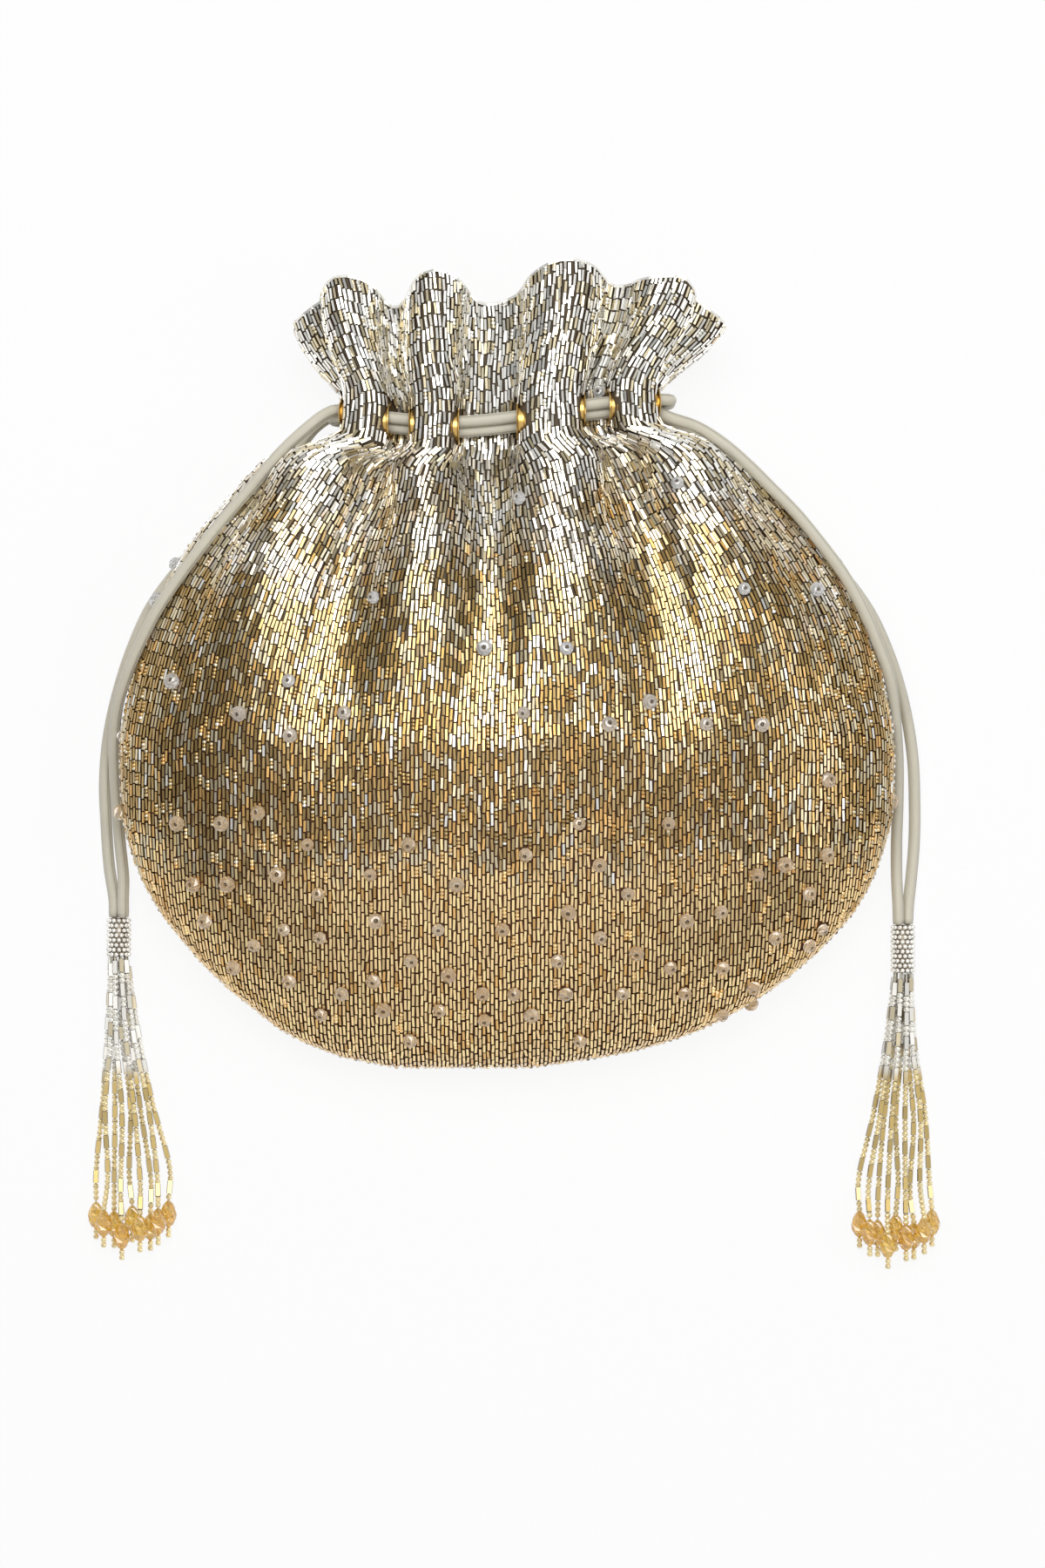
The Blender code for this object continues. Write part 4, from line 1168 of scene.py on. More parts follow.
def laid_bugles(front):
    """Starts, ends, outward ways and places of all the bugles of a panel."""
    sizes = bpy.context.scene.pouch_sizes
    table = panel_table(front)
    share, alive = bead_columns(table, sizes.bugle_width + sizes.bugle_gap)
    points, normals = across(table, "points", share), across(table, "normals", share)
    chance = np.random.default_rng(RANDOM_START + front)
    starts, ends, outs, downs = [], [], [], []
    offset = 0.0
    for column in range(share.shape[1]):
        jump = 0.5 if chance.random() < JUMP_CHANCE else 0.0
        offset = (offset + jump + chance.normal(0.0, DRIFT)) % 1.0
        for a, b in runs_of(alive[:, column]):
            path, way, down = points[a:b, column], normals[a:b, column], table["places"][a:b]
            if b < len(points) and table["places"][b] > BELLY:
                # the string goes on to the seam, between this row and the next
                side = 0 if share[b, column] < 0.5 else -1
                near, past = share[b - 1, column], share[b, column]
                part = min(max((near + side) / (near - past), 0.0), 1.0) if near != past else 0.0
                rim = table["points"][b - 1, side] * (1 - part) + table["points"][b, side] * part
                path, way = np.vstack((path, rim)), np.vstack((way, way[-1]))
                down = np.append(down, down[-1])
            along = arc_lengths(path)
            step = sizes.bugle_length + sizes.bugle_end_gap
            first = -offset * step + (0.3 * step if a == 0 else 0.0)
            marks = first + np.arange(int((along[-1] - first) / step) + 1) * step
            begin = np.maximum(marks, 0.0)
            stop = np.minimum(marks + sizes.bugle_length, along[-1])
            good = stop - begin > SHORTEST_BUGLE * sizes.bugle_length
            begin, stop = begin[good], stop[good]
            middle = (begin + stop) / 2
            starts.append(read_at(begin, along, path))
            ends.append(read_at(stop, along, path))
            outs.append(read_at(middle, along, way))
            downs.append(np.interp(middle, along, down))
    return tuple(np.concatenate(part) for part in (starts, ends, outs, downs))


def clear_of(points, others, distance):
    """True for each point that keeps its distance from all the others."""
    free = np.ones(len(points), bool)
    for other in others:
        free &= np.sum((points - other) ** 2, axis=1) > distance**2
    return free


def trimmed(starts, ends, others, radius):
    """Shortens the beads that reach under a crystal; those left too short are dropped."""
    starts, ends = starts.copy(), ends.copy()
    for other in others:
        line, to_start = ends - starts, starts - other
        a = np.sum(line * line, axis=1)
        b = np.sum(to_start * line, axis=1)
        c = np.sum(to_start * to_start, axis=1) - radius**2
        root = np.sqrt(np.maximum(b * b - a * c, 0.0))
        enter, leave = (-b - root) / a, (-b + root) / a
        touched = (b * b > a * c) & (leave > 0.0) & (enter < 1.0)
        head = touched & (enter > 1.0 - leave)
        tail = touched & ~head
        ends[head] = (starts + line * np.maximum(enter, 0.0)[:, None])[head]
        starts[tail] = (starts + line * np.minimum(leave, 1.0)[:, None])[tail]
    return starts, ends


def eyelet_middles(front):
    spots = []
    for turn in eyelet_turns():
        point = on_ring(0.0, turn, front)[0]
        spots.append(to_frame(point, 0.0, NECK_Y, front))
    return spots


def crystal_spots(front):
    """Where crystals are sewn on a panel: points, ways out and ways down."""
    table = panel_table(front)
    points, normals = table["points"], table["normals"]
    if front:
        wanted = np.array(FRONT_CRYSTALS)
    else:
        chance = np.random.default_rng(RANDOM_START + 5)
        rows = [
            ((x + y % 2 / 2) * BACK_SPACING, NECK_Y - 0.03 - y * BACK_SPACING * 0.8)
            for y in range(13) for x in range(-8, 8)
        ]
        wanted = np.array(rows) + chance.normal(0.0, BACK_SCATTER, (len(rows), 2))
    flat, ways = points.reshape(-1, 3), normals.reshape(-1, 3)
    facing = (ways[:, 2] * (1 if front else -1) > 0.2) & (flat[:, 2] > CRYSTAL_FLOOR)
    flat, ways = flat[facing], ways[facing]
    found = []
    for x, y in wanted:
        apart = (flat[:, 0] - x) ** 2 + (flat[:, 1] - y) ** 2
        nearest = int(np.argmin(apart))
        if apart[nearest] < CRYSTAL_REACH**2:
            found.append(nearest)
    return flat[found], ways[found]


def panel_beads(front):
    """Makes a panel's bugles and seed beads, as a ruffle, an upper and a lower piece."""
    sizes = bpy.context.scene.pouch_sizes
    starts, ends, outs, downs = laid_bugles(front)
    spots = crystal_spots(front)[0]
    starts, ends = trimmed(starts, ends, spots, sizes.crystal_size * CRYSTAL_ROOM)
    middles = (starts + ends) / 2
    free = clear_of(middles, eyelet_middles(front), EYELET_BORE / 2 + EYELET_ROOM)
    free &= np.linalg.norm(ends - starts, axis=1) > SHORTEST_BUGLE * sizes.bugle_length
    for side in TAILS:
        line = drawstring_lines(side, sizes.cord_diameter)["held"]
        free &= clear_of(middles, line[::2], sizes.cord_diameter / 2 + sizes.bugle_width / 2)
    starts, ends, outs, downs = starts[free], ends[free], outs[free], downs[free]
    middles = middles[free]
    chance = np.random.default_rng(RANDOM_START + 11 + front)
    tints = chance.random((len(middles), 3))
    # some of the beads in one block of cloth share their tone
    blocks = np.floor(middles / np.array(TONE_BLOCK)).astype(int)
    shared = np.abs(np.sin(blocks[:, 0] * 127.1 + blocks[:, 1] * 311.7 + front * 17.0) * 43758.5453)
    same = chance.random(len(middles)) < SAME_TONE
    tints[same, 0] = (shared % 1.0)[same]
    often = (middles[:, 1] < SEEDS_TO) & (middles[:, 1] > SEEDS_FROM)
    seeds = chance.random(len(middles)) < np.where(often, SEEDS_INSIDE, SEEDS_ELSEWHERE)
    lift = sizes.cloth_thickness / 2 + sizes.bugle_width * BUGLE_SEAT
    spin = chance.normal(0.0, SPIN, len(middles))
    # the beads near the neck and on the ruffle sit more loosely than the lower ones
    loose = np.clip((middles[:, 1] - LOOSE_FROM) / LOOSE_OVER, 0.0, 1.0)
    pitch = chance.normal(0.0, 1.0, len(middles)) * (PITCH + LOOSE_PITCH * loose)
    roll = chance.normal(0.0, 1.0, len(middles)) * (ROLL + LOOSE_ROLL * loose)
    sides, ups, alongs = turned_axes(ends - starts, outs)
    alongs = alongs + sides * spin[:, None] + ups * pitch[:, None]
    sides, ups, alongs = turned_axes(alongs, ups + sides * roll[:, None])
    lengths = np.linalg.norm(ends - starts, axis=1)[:, None]
    placed = middles + ups * (lift + chance.normal(0.0, UNEVEN_SEAT, len(middles)))[:, None]
    bugle, seed = bugle_pattern(sizes), seed_pattern(sizes)
    for part, low, high in (("ruffle", -1.0, 0.0), ("upper", 0.0, BELLY), ("lower", BELLY, 2.0)):
        inside = (downs >= low) & (downs < high)
        tubes, small = inside & ~seeds, inside & seeds
        batches = [(bugle, placed[tubes], sides[tubes], ups[tubes],
                    alongs[tubes] * lengths[tubes], tints[tubes])]
        for step in (-1, 0, 1):
            where = placed[small] + alongs[small] * lengths[small] * (step / 3)
            batches.append((seed, where, ups[small], alongs[small], sides[small],
                            chance.random((int(small.sum()), 3))))
        item = copies(f"{label_of(front)}_{part}_beads", batches, 50)
        dress(item, item.name, "bugle_glass", "beaded_cloth")


def seam_beads():
    """Small beads along the side and bottom seams."""
    sizes = bpy.context.scene.pouch_sizes
    front, back = panel_table(True), panel_table(False)
    rows = np.flatnonzero(front["places"] > 0.05)
    edge = (front["raw"] + back["raw"]) / 2
    path = np.concatenate([edge[rows, 0], edge[-1, 1:-1], edge[rows[::-1], -1]])
    along = arc_lengths(path)
    chance = np.random.default_rng(RANDOM_START + 23)
    at = np.arange(SEAM_REACH, along[-1], sizes.seed_size * SEAM_SPACING)
    at = at + chance.normal(0.0, SEAM_SCATTER, len(at))
    middles = read_at(at, along, path)
    ways = read_at(at + SEAM_REACH, along, path) - read_at(at - SEAM_REACH, along, path)
    outward = np.cross(ways, np.array([0.0, 0.0, 1.0]))
    outward /= np.maximum(np.linalg.norm(outward, axis=1, keepdims=True), 1e-9)
    outward *= np.sign(np.sum(outward * (middles - np.array([0.0, -0.02, 0.0])), axis=1))[:, None]
    sides, ups, alongs = turned_axes(ways, np.tile([0.0, 0.0, 1.0], (len(at), 1)))
    where = middles + outward * (sizes.cloth_thickness / 2 + sizes.seed_size * EDGE_SEAT)
    batches = [(seed_pattern(sizes), where, ups, sides, alongs, chance.random((len(at), 3)))]
    item = copies("seam_beads", batches, 60)
    return dress(item, "seam_beads", "seed_silver", "silver_beads")


def mouth_beads():
    """Two rows of bugles along the mouth's edge of each panel, outside and inside."""
    sizes = bpy.context.scene.pouch_sizes
    chance = np.random.default_rng(RANDOM_START + 29)
    bugle = bugle_pattern(sizes)
    batches = []
    for front in (True, False):
        table = panel_table(front)
        row, out = table["points"][0], table["normals"][0]
        along = table["even"] * table["arcs"][0]
        step = sizes.bugle_length + sizes.bugle_gap
        marks = np.arange(0.4 * step, table["arcs"][0] - step, step)
        seat = sizes.cloth_thickness / 2 + sizes.bugle_width * EDGE_SEAT
        for side, shift in ((seat, 0.0), (-seat, step / 2)):
            begin = read_at(marks + shift, along, row)
            end = read_at(marks + sizes.bugle_length + shift, along, row)
            way = read_at(marks + sizes.bugle_length / 2, along, out)
            sides, ups, alongs = turned_axes(end - begin, way)
            length = np.linalg.norm(end - begin, axis=1)[:, None]
            middles = (begin + end) / 2 + np.array([0.0, sizes.bugle_width * EDGE_RISE, 0.0])
            middles = middles + ups * side
            tints = chance.random((len(marks), 3)) * np.array([0.7, 0.8, 1.0])
            batches.append((bugle, middles, sides, ups, alongs * length, tints))
    item = copies("mouth_edge_beads", batches, 70)
    return dress(item, "mouth_edge_beads", "seed_silver", "silver_beads")


def crystals(front):
    """A panel's faceted crystals, each held by a small bead on top."""
    sizes = bpy.context.scene.pouch_sizes
    spots, ways = crystal_spots(front)
    chance = np.random.default_rng(RANDOM_START + 31 + front)
    way = ways + chance.normal(0.0, CRYSTAL_TILT, ways.shape)
    sides, ups, alongs = turned_axes(way, np.tile([0.3, 1.0, 0.1], (len(way), 1)))
    scale = chance.uniform(*CRYSTAL_SIZES, (len(way), 1))
    middles = spots + ways * (sizes.cloth_thickness / 2 + sizes.crystal_size * CRYSTAL_SEAT)
    tints = chance.random((len(way), 3))
    batches = [(crystal_pattern(sizes), middles, sides * scale, ups * scale, alongs * scale, tints)]
    item = copies(f"{label_of(front)}_crystals", batches, 0)
    dress(item, item.name, "crystal_glass", "amber_glass")
    # each pin takes the dark seed colour, as painted shade of the crystal's hole
    pins = [(seed_pattern(sizes), middles + alongs * sizes.crystal_size * PIN_SEAT,
             sides * PIN_SIZE, ups * PIN_SIZE, alongs * PIN_SIZE,
             np.tile([1.0, 0.1, 0.5], (len(way), 1)))]
    held = copies(f"{label_of(front)}_crystal_pins", pins, 60)
    dress(held, held.name, "seed_silver", "silver_beads")


# Cloth

def cloth_panel(front):
    label = label_of(front)
    rows = panel_table(front)["raw"]
    item = grid_surface(f"{label}_cloth", rows)
    if not front:
        edit_all(item)
        bpy.ops.mesh.flip_normals()
        bpy.ops.object.mode_set(mode="OBJECT")
    thickened(item, bpy.context.scene.pouch_sizes.cloth_thickness)
    dress(item, f"{label}_cloth", "beadwork_backing", "beaded_cloth", f"{label}_panel")
    # the inner side of the cloth is lined with satin
    item.data.materials.append(finish("lining_satin_fine"))
    shell = (rows.shape[0] - 1) * (rows.shape[1] - 1)
    for face in item.data.polygons[shell:2 * shell]:
        face.material_index = 1
    return item


def lining_cloth():
    """One bag of thin satin inside the panels, closed along its bottom."""
    rows = []
    for place in [*LINING_ROWS, LINING_ROWS[-1] + 0.008]:
        height = NECK_Y - place * BODY_LENGTH
        inset = fold_height(place) + LINING_INSET
        last = place > LINING_ROWS[-1]
        place += LINING_TUCK * max(0.0, place - BELLY)
        row = []
        for step in range(2 * LINING_STEPS + 1):
            front = step <= LINING_STEPS
            turn = math.pi * step / LINING_STEPS
            point, normal = on_ring(place, turn, front)
            point -= Vector((normal.x, 0, normal.z)) * inset
            if step % LINING_STEPS == 0 or last:
                point.z = 0.0
            placed = to_frame(point, place, height, front)
            if last:
                placed.z = seam_height(place)
            placed.z = max(placed.z, LINING_FLOOR)
            row.append(tuple(placed))
        rows.append(row)
    item = grid_surface("lining_cloth", np.array(rows))
    edit_all(item)
    bpy.ops.mesh.remove_doubles(threshold=0.00035)
    bpy.ops.mesh.normals_make_consistent(inside=False)
    bpy.ops.object.mode_set(mode="OBJECT")
    thickened(item, LINING_THICKNESS)
    return dress(item, "lining_cloth", "lining_satin_fine", "lining_satin", "lining")


# Hardware, cords and tassels

def eyelet_ring():
    """A rolled brass eyelet: a barrel with a rounded flange on each face."""
    sizes = bpy.context.scene.pouch_sizes
    bore = EYELET_BORE / 2
    inner = sizes.cloth_thickness / 2 + 0.0003
    outer = inner + 0.0006
    rim = bore + 0.0012
    profile = [
        (-inner, bore + 0.0003), (inner, bore + 0.0003), (inner, rim - 0.0002),
        (inner + 0.0002, rim), (outer - 0.0001, rim - 0.0001), (outer, (bore + rim) / 2),
        (outer - 0.00015, bore + 0.00025), (outer - 0.0005, bore), (0.0, bore - 0.00002),
        (0.0005 - outer, bore), (0.00015 - outer, bore + 0.00025), (-outer, (bore + rim) / 2),
        (0.0001 - outer, rim - 0.0001), (-inner - 0.0002, rim), (-inner, rim - 0.0002),
        (-inner, bore + 0.0003),
    ]
    return taken(turned(profile, 32))


def eyelets():
    pattern = eyelet_ring()
    for front in (True, False):
        label = label_of(front)
        side = 1 if front else -1
        for number, turn in enumerate(eyelet_turns(), 1):
            point, normal = on_ring(0.0, turn, front)
            axis = np.array([[normal.z, 0.0, -side * normal.x]])
            placed = np.array([tuple(to_frame(point, 0.0, NECK_Y, front))])
            sides, ups, alongs = turned_axes(axis, np.array([[0.0, 1.0, 0.0]]))
            batch = [(pattern, placed, sides, ups, alongs, np.full((1, 3), 0.5))]
            item = copies(f"eyelet_ring_{label}_{number}", batch, 40)
            dress(item, item.name, "eyelet_brass_fine", "eyelet_brass",
                  f"eyelet_{label}_{number}")


def drawstrings():
    sizes = bpy.context.scene.pouch_sizes
    for side in TAILS:
        lines = drawstring_lines(side, sizes.cord_diameter)
        item = tube(f"{side}_cord_held", lines["held"], sizes.cord_diameter)
        dress(item, item.name, "cord_satin_fine", "cord_satin", f"drawstring_{side}_held")
        for part in ("front", "back"):
            line = lines[part]
            item = tube(f"{side}_cord_{part}_tail", line, sizes.cord_diameter)
            dress(item, item.name, "cord_satin_fine", "cord_satin",
                  f"drawstring_{side}_{part}_tail")


def tassel_head(side):
    """The tassel's head: a wrapped core under rows of silver seed beads."""
    sizes = bpy.context.scene.pouch_sizes
    top, length = beside_bag(COLLARS[side], side), COLLAR_LENGTHS[side]
    radius = sizes.collar_width / 2 - sizes.seed_size * CORE_INSET
    core = taken(turned(
        [(0.0, radius * 0.8), (length * 0.04, radius), (length * 0.96, radius),
         (length, radius * 0.8)], 20,
    ))
    axis = np.array([[0.0, -1.0, 0.0]])
    sides, ups, alongs = turned_axes(axis, np.array([[0.0, 0.0, 1.0]]))
    batches = [(core, np.array([tuple(top)]), sides, ups, alongs, np.array([[1.0, 0.2, 0.8]]))]
    chance = np.random.default_rng(RANDOM_START + 41 + len(side))
    spacing = sizes.seed_size * COLLAR_SPACING
    rows = round(length / spacing)
    per_row = int(2 * math.pi * (radius + sizes.seed_size * COLLAR_ROOM) / spacing)
    spots, outs = [], []
    for row in range(rows):
        for bead in range(per_row):
            turn = 2 * math.pi * (bead + 0.5 * (row % 2)) / per_row
            out = np.array([math.cos(turn), 0.0, math.sin(turn)])
            y = -length * (row + 0.5) / rows
            spots.append(np.array(tuple(top)) + out * (radius + sizes.seed_size * COLLAR_SEAT)
                         + np.array([0.0, y, 0.0]))
            outs.append(out)
    spots, outs = np.array(spots), np.array(outs)
    down = np.tile([0.0, -1.0, 0.0], (len(spots), 1))
    sides, ups, alongs = turned_axes(np.cross(outs, down), outs)
    batches.append((seed_pattern(sizes), spots, sides, ups, alongs,
                    chance.random((len(spots), 3)) * np.array([0.75, 0.7, 1.0])))
    item = copies(f"{side}_tassel_head", batches, 60)
    return dress(item, item.name, "seed_silver", "silver_beads", f"tassel_{side}_collar")


def strand_lines(side):
    """Each strand's line from the tassel's head to its drop, and the drop's middle."""
    sizes = bpy.context.scene.pouch_sizes
    top, length = beside_bag(COLLARS[side], side), COLLAR_LENGTHS[side]
    start_y, drop_y = top.y - length, top.y - length - REACHES[side]
    rest, touch = sizes.drop_width / 2 + GAP, sizes.drop_width + GAP
    on_top = rest + math.sqrt(touch**2 - (DROP_SPACING / 2) ** 2)
    low = sizes.seed_size * STRAND_SEED / 2 + GAP
    layers = (
        (FLOOR_STRANDS, FLOOR_STAGGER, rest, low),
        (TOP_STRANDS, TOP_STAGGER, on_top, 2 * STRAND_THICKNESS + low),
    )
    chance = np.random.default_rng(RANDOM_START + 53 + len(side))
    found = []
    for degrees, stagger, height, lie in layers:
        for i, degree in enumerate(degrees):
            out = math.radians(degree)
            ring = Vector((math.cos(out), 0, math.sin(out))) * STRAND_RING
            start = Vector((top.x, start_y, top.z)) + ring
            place = (i - (len(degrees) - 1) / 2) * DROP_SPACING
            drop = Vector((top.x + FANS[side] + place, drop_y + stagger[i], height))
            reach = drop.y + sizes.drop_length / 2 - start.y
            sway = chance.normal(0.0, STRAND_SWAY)
            points = [start + Vector((0, 0.0015, 0))]
            for share, lift in STRAND_SAG:
                eased = share * share * (3 - 2 * share)
                points.append(Vector((
                    start.x + (drop.x - start.x) * eased + sway * math.sin(9 * share),
                    start.y + reach * share, start.z + (lie - start.z) * lift,
                )))
            points.append(drop + Vector((0, sizes.drop_length / 2, 0)))
            found.append((smooth_route(points), drop))
    return found


def strand(side, number, line, drop):
    """A strand: its thread, its bugles and seed beads, and the drop at its end."""
    sizes = bpy.context.scene.pouch_sizes
    chance = np.random.default_rng(RANDOM_START + 61 + number + 20 * len(side))
    along = np.array(lengths_along(line))
    flat = np.array([tuple(p) for p in line])
    tubes, rounds = [], []
    at = STRAND_START + chance.uniform(0.0, START_VARIES)
    ends_at = along[-1] - sizes.seed_size * 1.1
    bead = sizes.seed_size * STRAND_SEED * STRAND_ROOM
    while at < ends_at - bead:
        if at + sizes.strand_bugle < ends_at:
            tubes.append((at, at + sizes.strand_bugle))
            at += sizes.strand_bugle + AFTER_BUGLE
        for _ in range(int(chance.integers(2, 5))):
            if at < ends_at - bead * 0.5:
                rounds.append(at + bead / 2)
                at += bead * STRAND_SPACING
    while at + bead * 0.5 < along[-1]:
        rounds.append(at + bead / 2)
        at += bead * STRAND_SPACING
    below = drop.y - sizes.drop_length / 2
    hanging = [(drop.x, below - bead * k, drop.z) for k in UNDER_DROP]
    rounds = np.array(rounds)
    spots = np.concatenate((read_at(rounds, along, flat), hanging))
    before, after = (read_at(rounds + step, along, flat) for step in (-STRAND_REACH, STRAND_REACH))
    ways = np.concatenate((after - before, [(0.0, -1.0, 0.0)] * 2))
    begin, stop = (read_at(at, along, flat) for at in np.array(tubes).T)
    sides, ups, alongs = turned_axes(stop - begin, np.tile([0.1, 0.0, 1.0], (len(tubes), 1)))
    length = np.linalg.norm(stop - begin, axis=1)[:, None]
    thin = sizes.strand_width / sizes.bugle_width
    batches = [(bugle_pattern(sizes), (begin + stop) / 2, sides * thin, ups * thin,
                alongs * length, chance.random((len(tubes), 3)) * np.array([1.0, 0.6, 1.0]))]
    sides, ups, alongs = turned_axes(ways, np.tile([0.1, 0.0, 1.0], (len(ways), 1)))
    tints = np.array([0, 0.92, 0.5]) + chance.random((len(spots), 3)) * np.array([0.6, 0.08, 0.5])
    batches.append((seed_pattern(sizes), spots, sides * STRAND_SEED,
                    ups * STRAND_SEED, alongs * STRAND_SEED, tints))
    beads = copies(f"{side}_strand_beads_{number}", batches, 50)
    dress(beads, beads.name, "strand_glass", "silver_beads")
    sides, ups, alongs = turned_axes(
        np.array([[0.0, 1.0, 0.0]]), np.array([[chance.normal(0, 0.6), 0.0, 1.0]]))
    glass_drop = copies(f"{side}_drop_{number}", [(
        drop_pattern(sizes), np.array([tuple(drop)]), sides, ups, alongs,
        chance.random((1, 3)))], 0)
    dress(glass_drop, glass_drop.name, "drop_glass", "amber_glass")
    thread_line = line[::4] + [drop]
    thread = tube(f"{side}_strand_thread_{number}", thread_line, sizes.thread, 8)
    dress(thread, thread.name, "cord_satin_fine", "silver_beads",
          f"tassel_{side}_strand_{number}")


# The add-on's own parts

def length_property(name, description, default):
    return bpy.props.FloatProperty(
        name=name, description=description, default=default, min=0.0, unit="LENGTH",
        subtype="DISTANCE", precision=5,
    )


def color_property(name, description, default):
    return bpy.props.FloatVectorProperty(
        name=name, description=description, default=default, size=3, min=0.0, max=1.0,
        subtype="COLOR",
    )


class PouchSizes(bpy.types.PropertyGroup):
    cloth_thickness: length_property("Cloth", "Thickness of the cloth under the beads", 0.0009)
    bugle_width: length_property("Bugle Width", "Width of a bugle bead", 0.00092)
    bugle_length: length_property("Bugle Length", "Length of a bugle bead", 0.0031)
    bugle_gap: length_property("Bugle Gap", "Room between strings of bugles", 0.00025)
    bugle_end_gap: length_property("End Gap", "Room between bugles of a string", 0.00034)
    seed_size: length_property("Seed Bead", "Width of a seed bead", 0.0014)
    crystal_size: length_property("Crystal", "Width of a sewn crystal", 0.0042)
    cord_diameter: length_property("Drawstring", "Diameter of a drawstring", 0.0034)
    collar_width: length_property("Tassel Head", "Width of a tassel's head", 0.0074)
    strand_bugle: length_property("Strand Bugle", "Length of a bugle in a strand", 0.0037)
    strand_width: length_property("Strand Width", "Width of a bugle in a strand", 0.0016)
    thread: length_property("Thread", "Thickness of a strand's thread", 0.0005)
    drop_width: length_property("Drop Width", "Width of a glass drop", 0.0048)
    drop_length: length_property("Drop Length", "Length of a glass drop", 0.0078)


class PouchColors(bpy.types.PropertyGroup):
    silver: color_property("Silver", "Silver-lined glass", (0.94, 0.92, 0.85))
    champagne: color_property("Champagne", "Pale glass of the upper part", (0.74, 0.64, 0.42))
    olive: color_property("Olive", "Brown green glass of the middle", (0.46, 0.295, 0.085))
    amber: color_property("Amber", "Orange gold glass of the middle", (0.74, 0.43, 0.12))
    gold: color_property("Gold", "Gold-lined glass of the lower part", (1.0, 0.71, 0.33))
    strand_gold: color_property("Strand Gold", "Bugles of the tassels", (0.60, 0.43, 0.13))
    strand_pale: color_property("Strand Seeds", "Seed beads of the tassels", (0.90, 0.76, 0.42))
    # both cloth colours are the cloth's brown darkened by painted shade of the gaps between the
    # beads
    upper_cloth_and_gap_shade: color_property("Upper Cloth", "Cloth at the top", (0.11, 0.08, 0.045))
    lower_cloth_and_gap_shade: color_property("Lower Cloth", "Cloth at the bottom", (0.10, 0.034, 0.008))
    cord: color_property("Cord", "Satin of the drawstrings", (0.69, 0.65, 0.53))
    lining: color_property("Lining", "Satin inside the pouch", (0.50, 0.40, 0.25))
    brass: color_property("Eyelets", "Brass of the eyelets", (0.68, 0.43, 0.13))
    clear: color_property("Clear Crystal", "Crystals of the upper part", (0.96, 0.95, 0.93))
    crystal: color_property("Crystal", "Crystals of the lower part", (1.0, 0.84, 0.60))
    drop: color_property("Drops", "Glass of the tassels' drops", (1.0, 0.73, 0.16))
    floor: color_property("Floor", "Floor under the pouch", (0.95, 0.95, 0.95))


class PouchStep:
    bl_options = {"REGISTER", "UNDO"}


class POUCH_OT_cloth(PouchStep, bpy.types.Operator):
    """Makes the two gathered panels of cloth"""
    bl_idname = "pouch.cloth"
    bl_label = "Cloth Panels"

    def execute(self, context):
        for front in (True, False):
            item = cloth_panel(front)
        return {"FINISHED"}


class POUCH_OT_lining(PouchStep, bpy.types.Operator):
    """Makes the satin lining inside the pouch"""
    bl_idname = "pouch.lining"
    bl_label = "Lining"

    def execute(self, context):
        lining_cloth()
        return {"FINISHED"}


class POUCH_OT_beadwork(PouchStep, bpy.types.Operator):
    """Sews the bugle and seed beads on both panels"""
    bl_idname = "pouch.beadwork"
    bl_label = "Beadwork"

    def execute(self, context):
        panel_beads(True)
        panel_beads(False)
        return {"FINISHED"}


class POUCH_OT_edges(PouchStep, bpy.types.Operator):
    """Sews the beads along the seams and along the mouth's edge"""
    bl_idname = "pouch.edges"
    bl_label = "Edge Beads"

    def execute(self, context):
        seam_beads()
        mouth_beads()
        return {"FINISHED"}


class POUCH_OT_crystals(PouchStep, bpy.types.Operator):
    """Sews the faceted crystals on both panels"""
    bl_idname = "pouch.crystals"
    bl_label = "Crystals"

    def execute(self, context):
        crystals(True)
        crystals(False)
        return {"FINISHED"}


class POUCH_OT_eyelets(PouchStep, bpy.types.Operator):
    """Sets the sixteen brass eyelets"""
    bl_idname = "pouch.eyelets"
    bl_label = "Eyelets"

    def execute(self, context):
        eyelets()
        return {"FINISHED"}


class POUCH_OT_tassels(PouchStep, bpy.types.Operator):
    """Makes both tassels, with their heads, strands and drops"""
    bl_idname = "pouch.tassels"
    bl_label = "Tassels"

    def execute(self, context):
        for side in TAILS:
            tassel_head(side)
            for number, (line, drop) in enumerate(strand_lines(side), 1):
                strand(side, number, line, drop)
        return {"FINISHED"}


class POUCH_OT_drawstrings(PouchStep, bpy.types.Operator):
    """Threads the two satin drawstrings; the tassels are made first"""
    bl_idname = "pouch.drawstrings"
    bl_label = "Drawstrings"

    def execute(self, context):
        drawstrings()
        return {"FINISHED"}


class POUCH_OT_stage(PouchStep, bpy.types.Operator):
    """Sets the floor, the lamps, the world and the camera"""
    bl_idname = "pouch.stage"
    bl_label = "Stage"

    def execute(self, context):
        white_floor()
        studio_world()
        for name, place, size, power in LAMPS:
            lamp(name, place, size, power)
        overhead_camera()
        return {"FINISHED"}


def lamp(name, place, size, power):
    data = bpy.data.lights.new(name, "AREA")
    data.shape = "RECTANGLE"
    data.size, data.size_y = size
    data.energy = power
    item = bpy.data.objects.new(name, data)
    item.location = place
    aim = Vector(LAMP_AIM) - Vector(place)
    item.rotation_euler = aim.to_track_quat("-Z", "Y").to_euler()
    bpy.context.scene.collection.objects.link(item)


def overhead_camera():
    data = bpy.data.cameras.new("camera")
    data.lens = CAMERA_LENS
    data.sensor_width = CAMERA_SENSOR
    data.clip_start = 0.01
    camera = bpy.data.objects.new("camera", data)
    camera.location = CAMERA_PLACE
    bpy.context.scene.collection.objects.link(camera)
    bpy.context.scene.camera = camera


def seen_directly(tree):
    """1 for camera, glossy and transmission rays, which show the plain white setting."""
    rays = node(tree, "ShaderNodeLightPath")
    seen = math_node(tree, "ADD", rays.outputs["Is Camera Ray"], rays.outputs["Is Glossy Ray"])
    return math_node(tree, "ADD", seen, rays.outputs["Is Transmission Ray"], clamp=True)


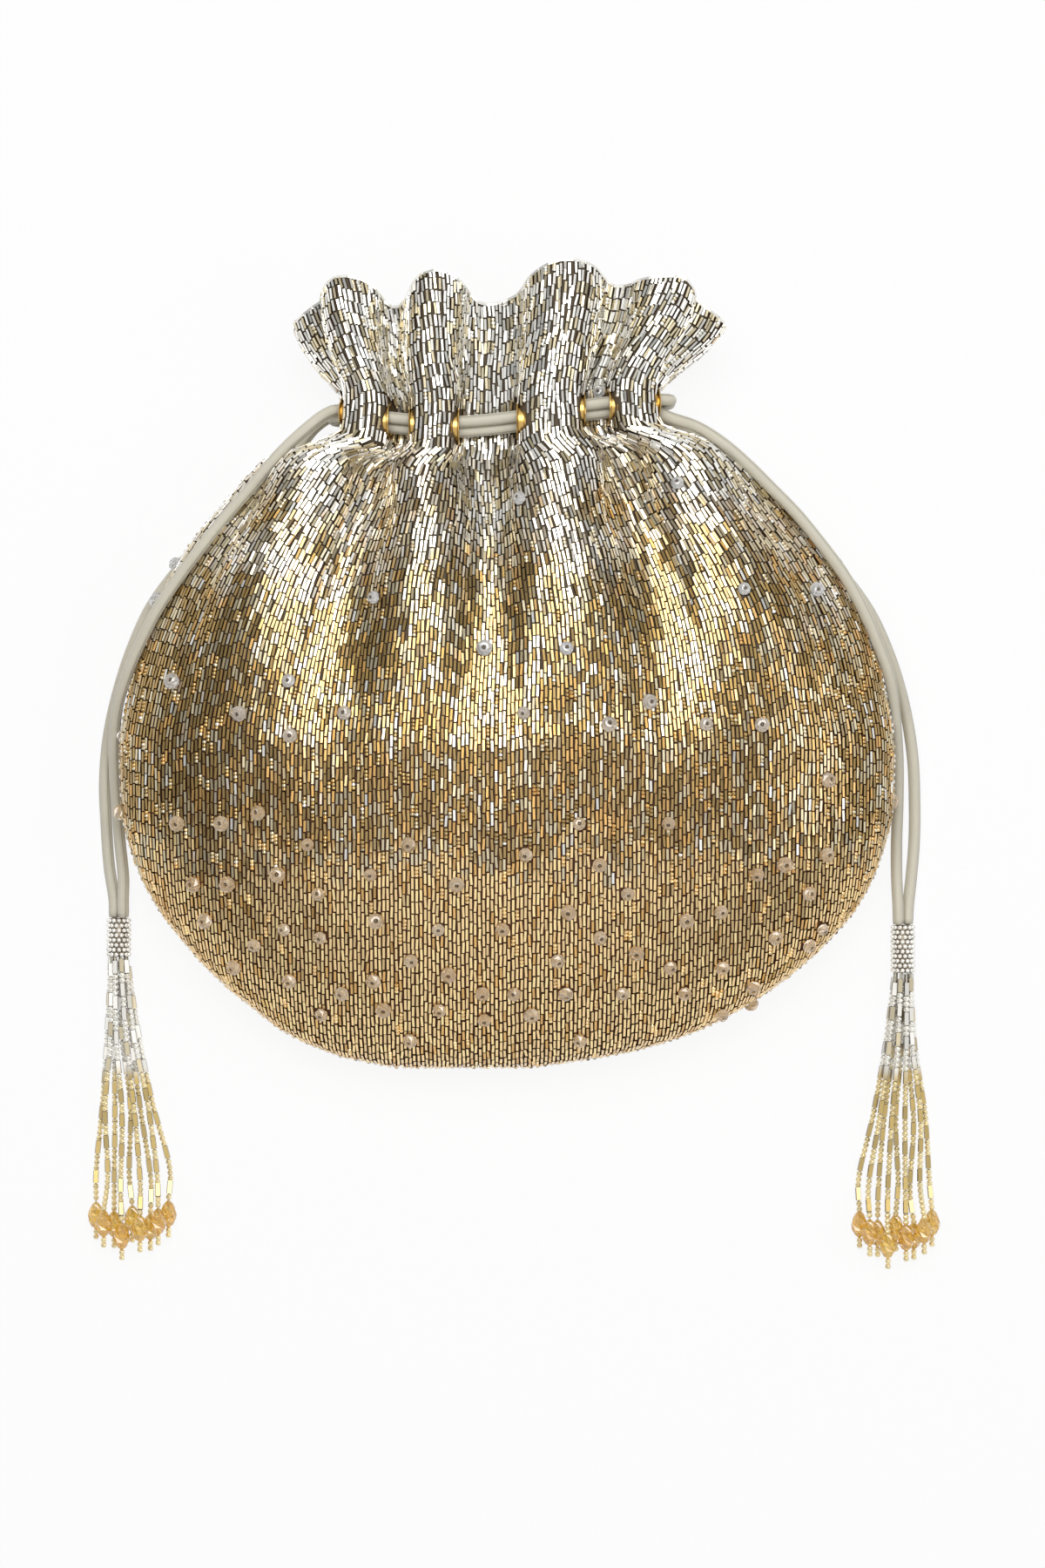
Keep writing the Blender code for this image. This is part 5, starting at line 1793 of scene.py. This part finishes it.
def white_floor():
    deselect()
    bpy.ops.mesh.primitive_circle_add(vertices=64, radius=FLOOR_RADIUS, fill_type="NGON")
    floor = bpy.context.active_object
    floor.name = "floor"
    material, tree, shader = new_material("pale_floor")
    feed(tree, shader, Base_Color=bpy.context.scene.pouch_colors.floor, Roughness=0.9)
    glow = node(tree, "ShaderNodeEmission")
    share = math_node(tree, "MULTIPLY", seen_directly(tree), FLOOR_WHITENESS)
    both = node(tree, "ShaderNodeMixShader")
    tree.links.new(share, both.inputs[0])
    tree.links.new(shader.outputs[0], both.inputs[1])
    tree.links.new(glow.outputs[0], both.inputs[2])
    tree.links.new(both.outputs[0], tree.nodes["Material Output"].inputs["Surface"])
    floor.data.materials.append(material)


def studio_world():
    world = bpy.data.worlds.new("studio")
    world.use_nodes = True
    tree = world.node_tree
    back = tree.nodes["Background"]
    way = axes_of(tree, node(tree, "ShaderNodeTexCoord").outputs["Generated"])
    # a dim ceiling with one long bright strip, and white from the walls down
    strip = fade(tree, math_node(tree, "ABSOLUTE", way["X"]), 0.70, 0.12)
    bright = scaled(tree, strip, STRIP, CEILING)
    ceiling = mix_colors(tree, bright, (0.0, 0.0, 0.0), (1.0, 1.0, 1.0))
    shown = mix_colors(tree, fade(tree, way["Z"], 0.60, 0.20), ceiling, WALLS)
    color = mix_colors(tree, seen_directly(tree), SKY_LIGHT, shown)
    feed(tree, back, Color=color, Strength=1.0)
    bpy.context.scene.world = world
    bpy.context.scene.view_settings.view_transform = "Standard"


STEPS = (
    POUCH_OT_stage, POUCH_OT_tassels, POUCH_OT_drawstrings, POUCH_OT_cloth, POUCH_OT_lining,
    POUCH_OT_beadwork, POUCH_OT_edges, POUCH_OT_crystals, POUCH_OT_eyelets,
)


class POUCH_PT_panel(bpy.types.Panel):
    bl_idname = "POUCH_PT_panel"
    bl_label = "Beaded Pouch"
    bl_space_type = "VIEW_3D"
    bl_region_type = "UI"
    bl_category = "Pouch"

    def draw(self, context):
        column = self.layout.column()
        for step in STEPS:
            column.operator(step.bl_idname)
        for group in (context.scene.pouch_sizes, context.scene.pouch_colors):
            for name in group.__annotations__:
                column.prop(group, name)


CLASSES = (PouchSizes, PouchColors, *STEPS, POUCH_PT_panel)


def register():
    for each in CLASSES:
        bpy.utils.register_class(each)
    bpy.types.Scene.pouch_sizes = bpy.props.PointerProperty(type=PouchSizes)
    bpy.types.Scene.pouch_colors = bpy.props.PointerProperty(type=PouchColors)


def unregister():
    del bpy.types.Scene.pouch_colors
    del bpy.types.Scene.pouch_sizes
    for each in reversed(CLASSES):
        bpy.utils.unregister_class(each)


def main():
    register()
    bpy.ops.pouch.stage()
    bpy.ops.pouch.tassels()
    bpy.ops.pouch.drawstrings()
    bpy.ops.pouch.cloth()
    bpy.ops.pouch.lining()
    bpy.ops.pouch.beadwork()
    bpy.ops.pouch.edges()
    bpy.ops.pouch.crystals()
    bpy.ops.pouch.eyelets()


if __name__ == "__main__":
    main()
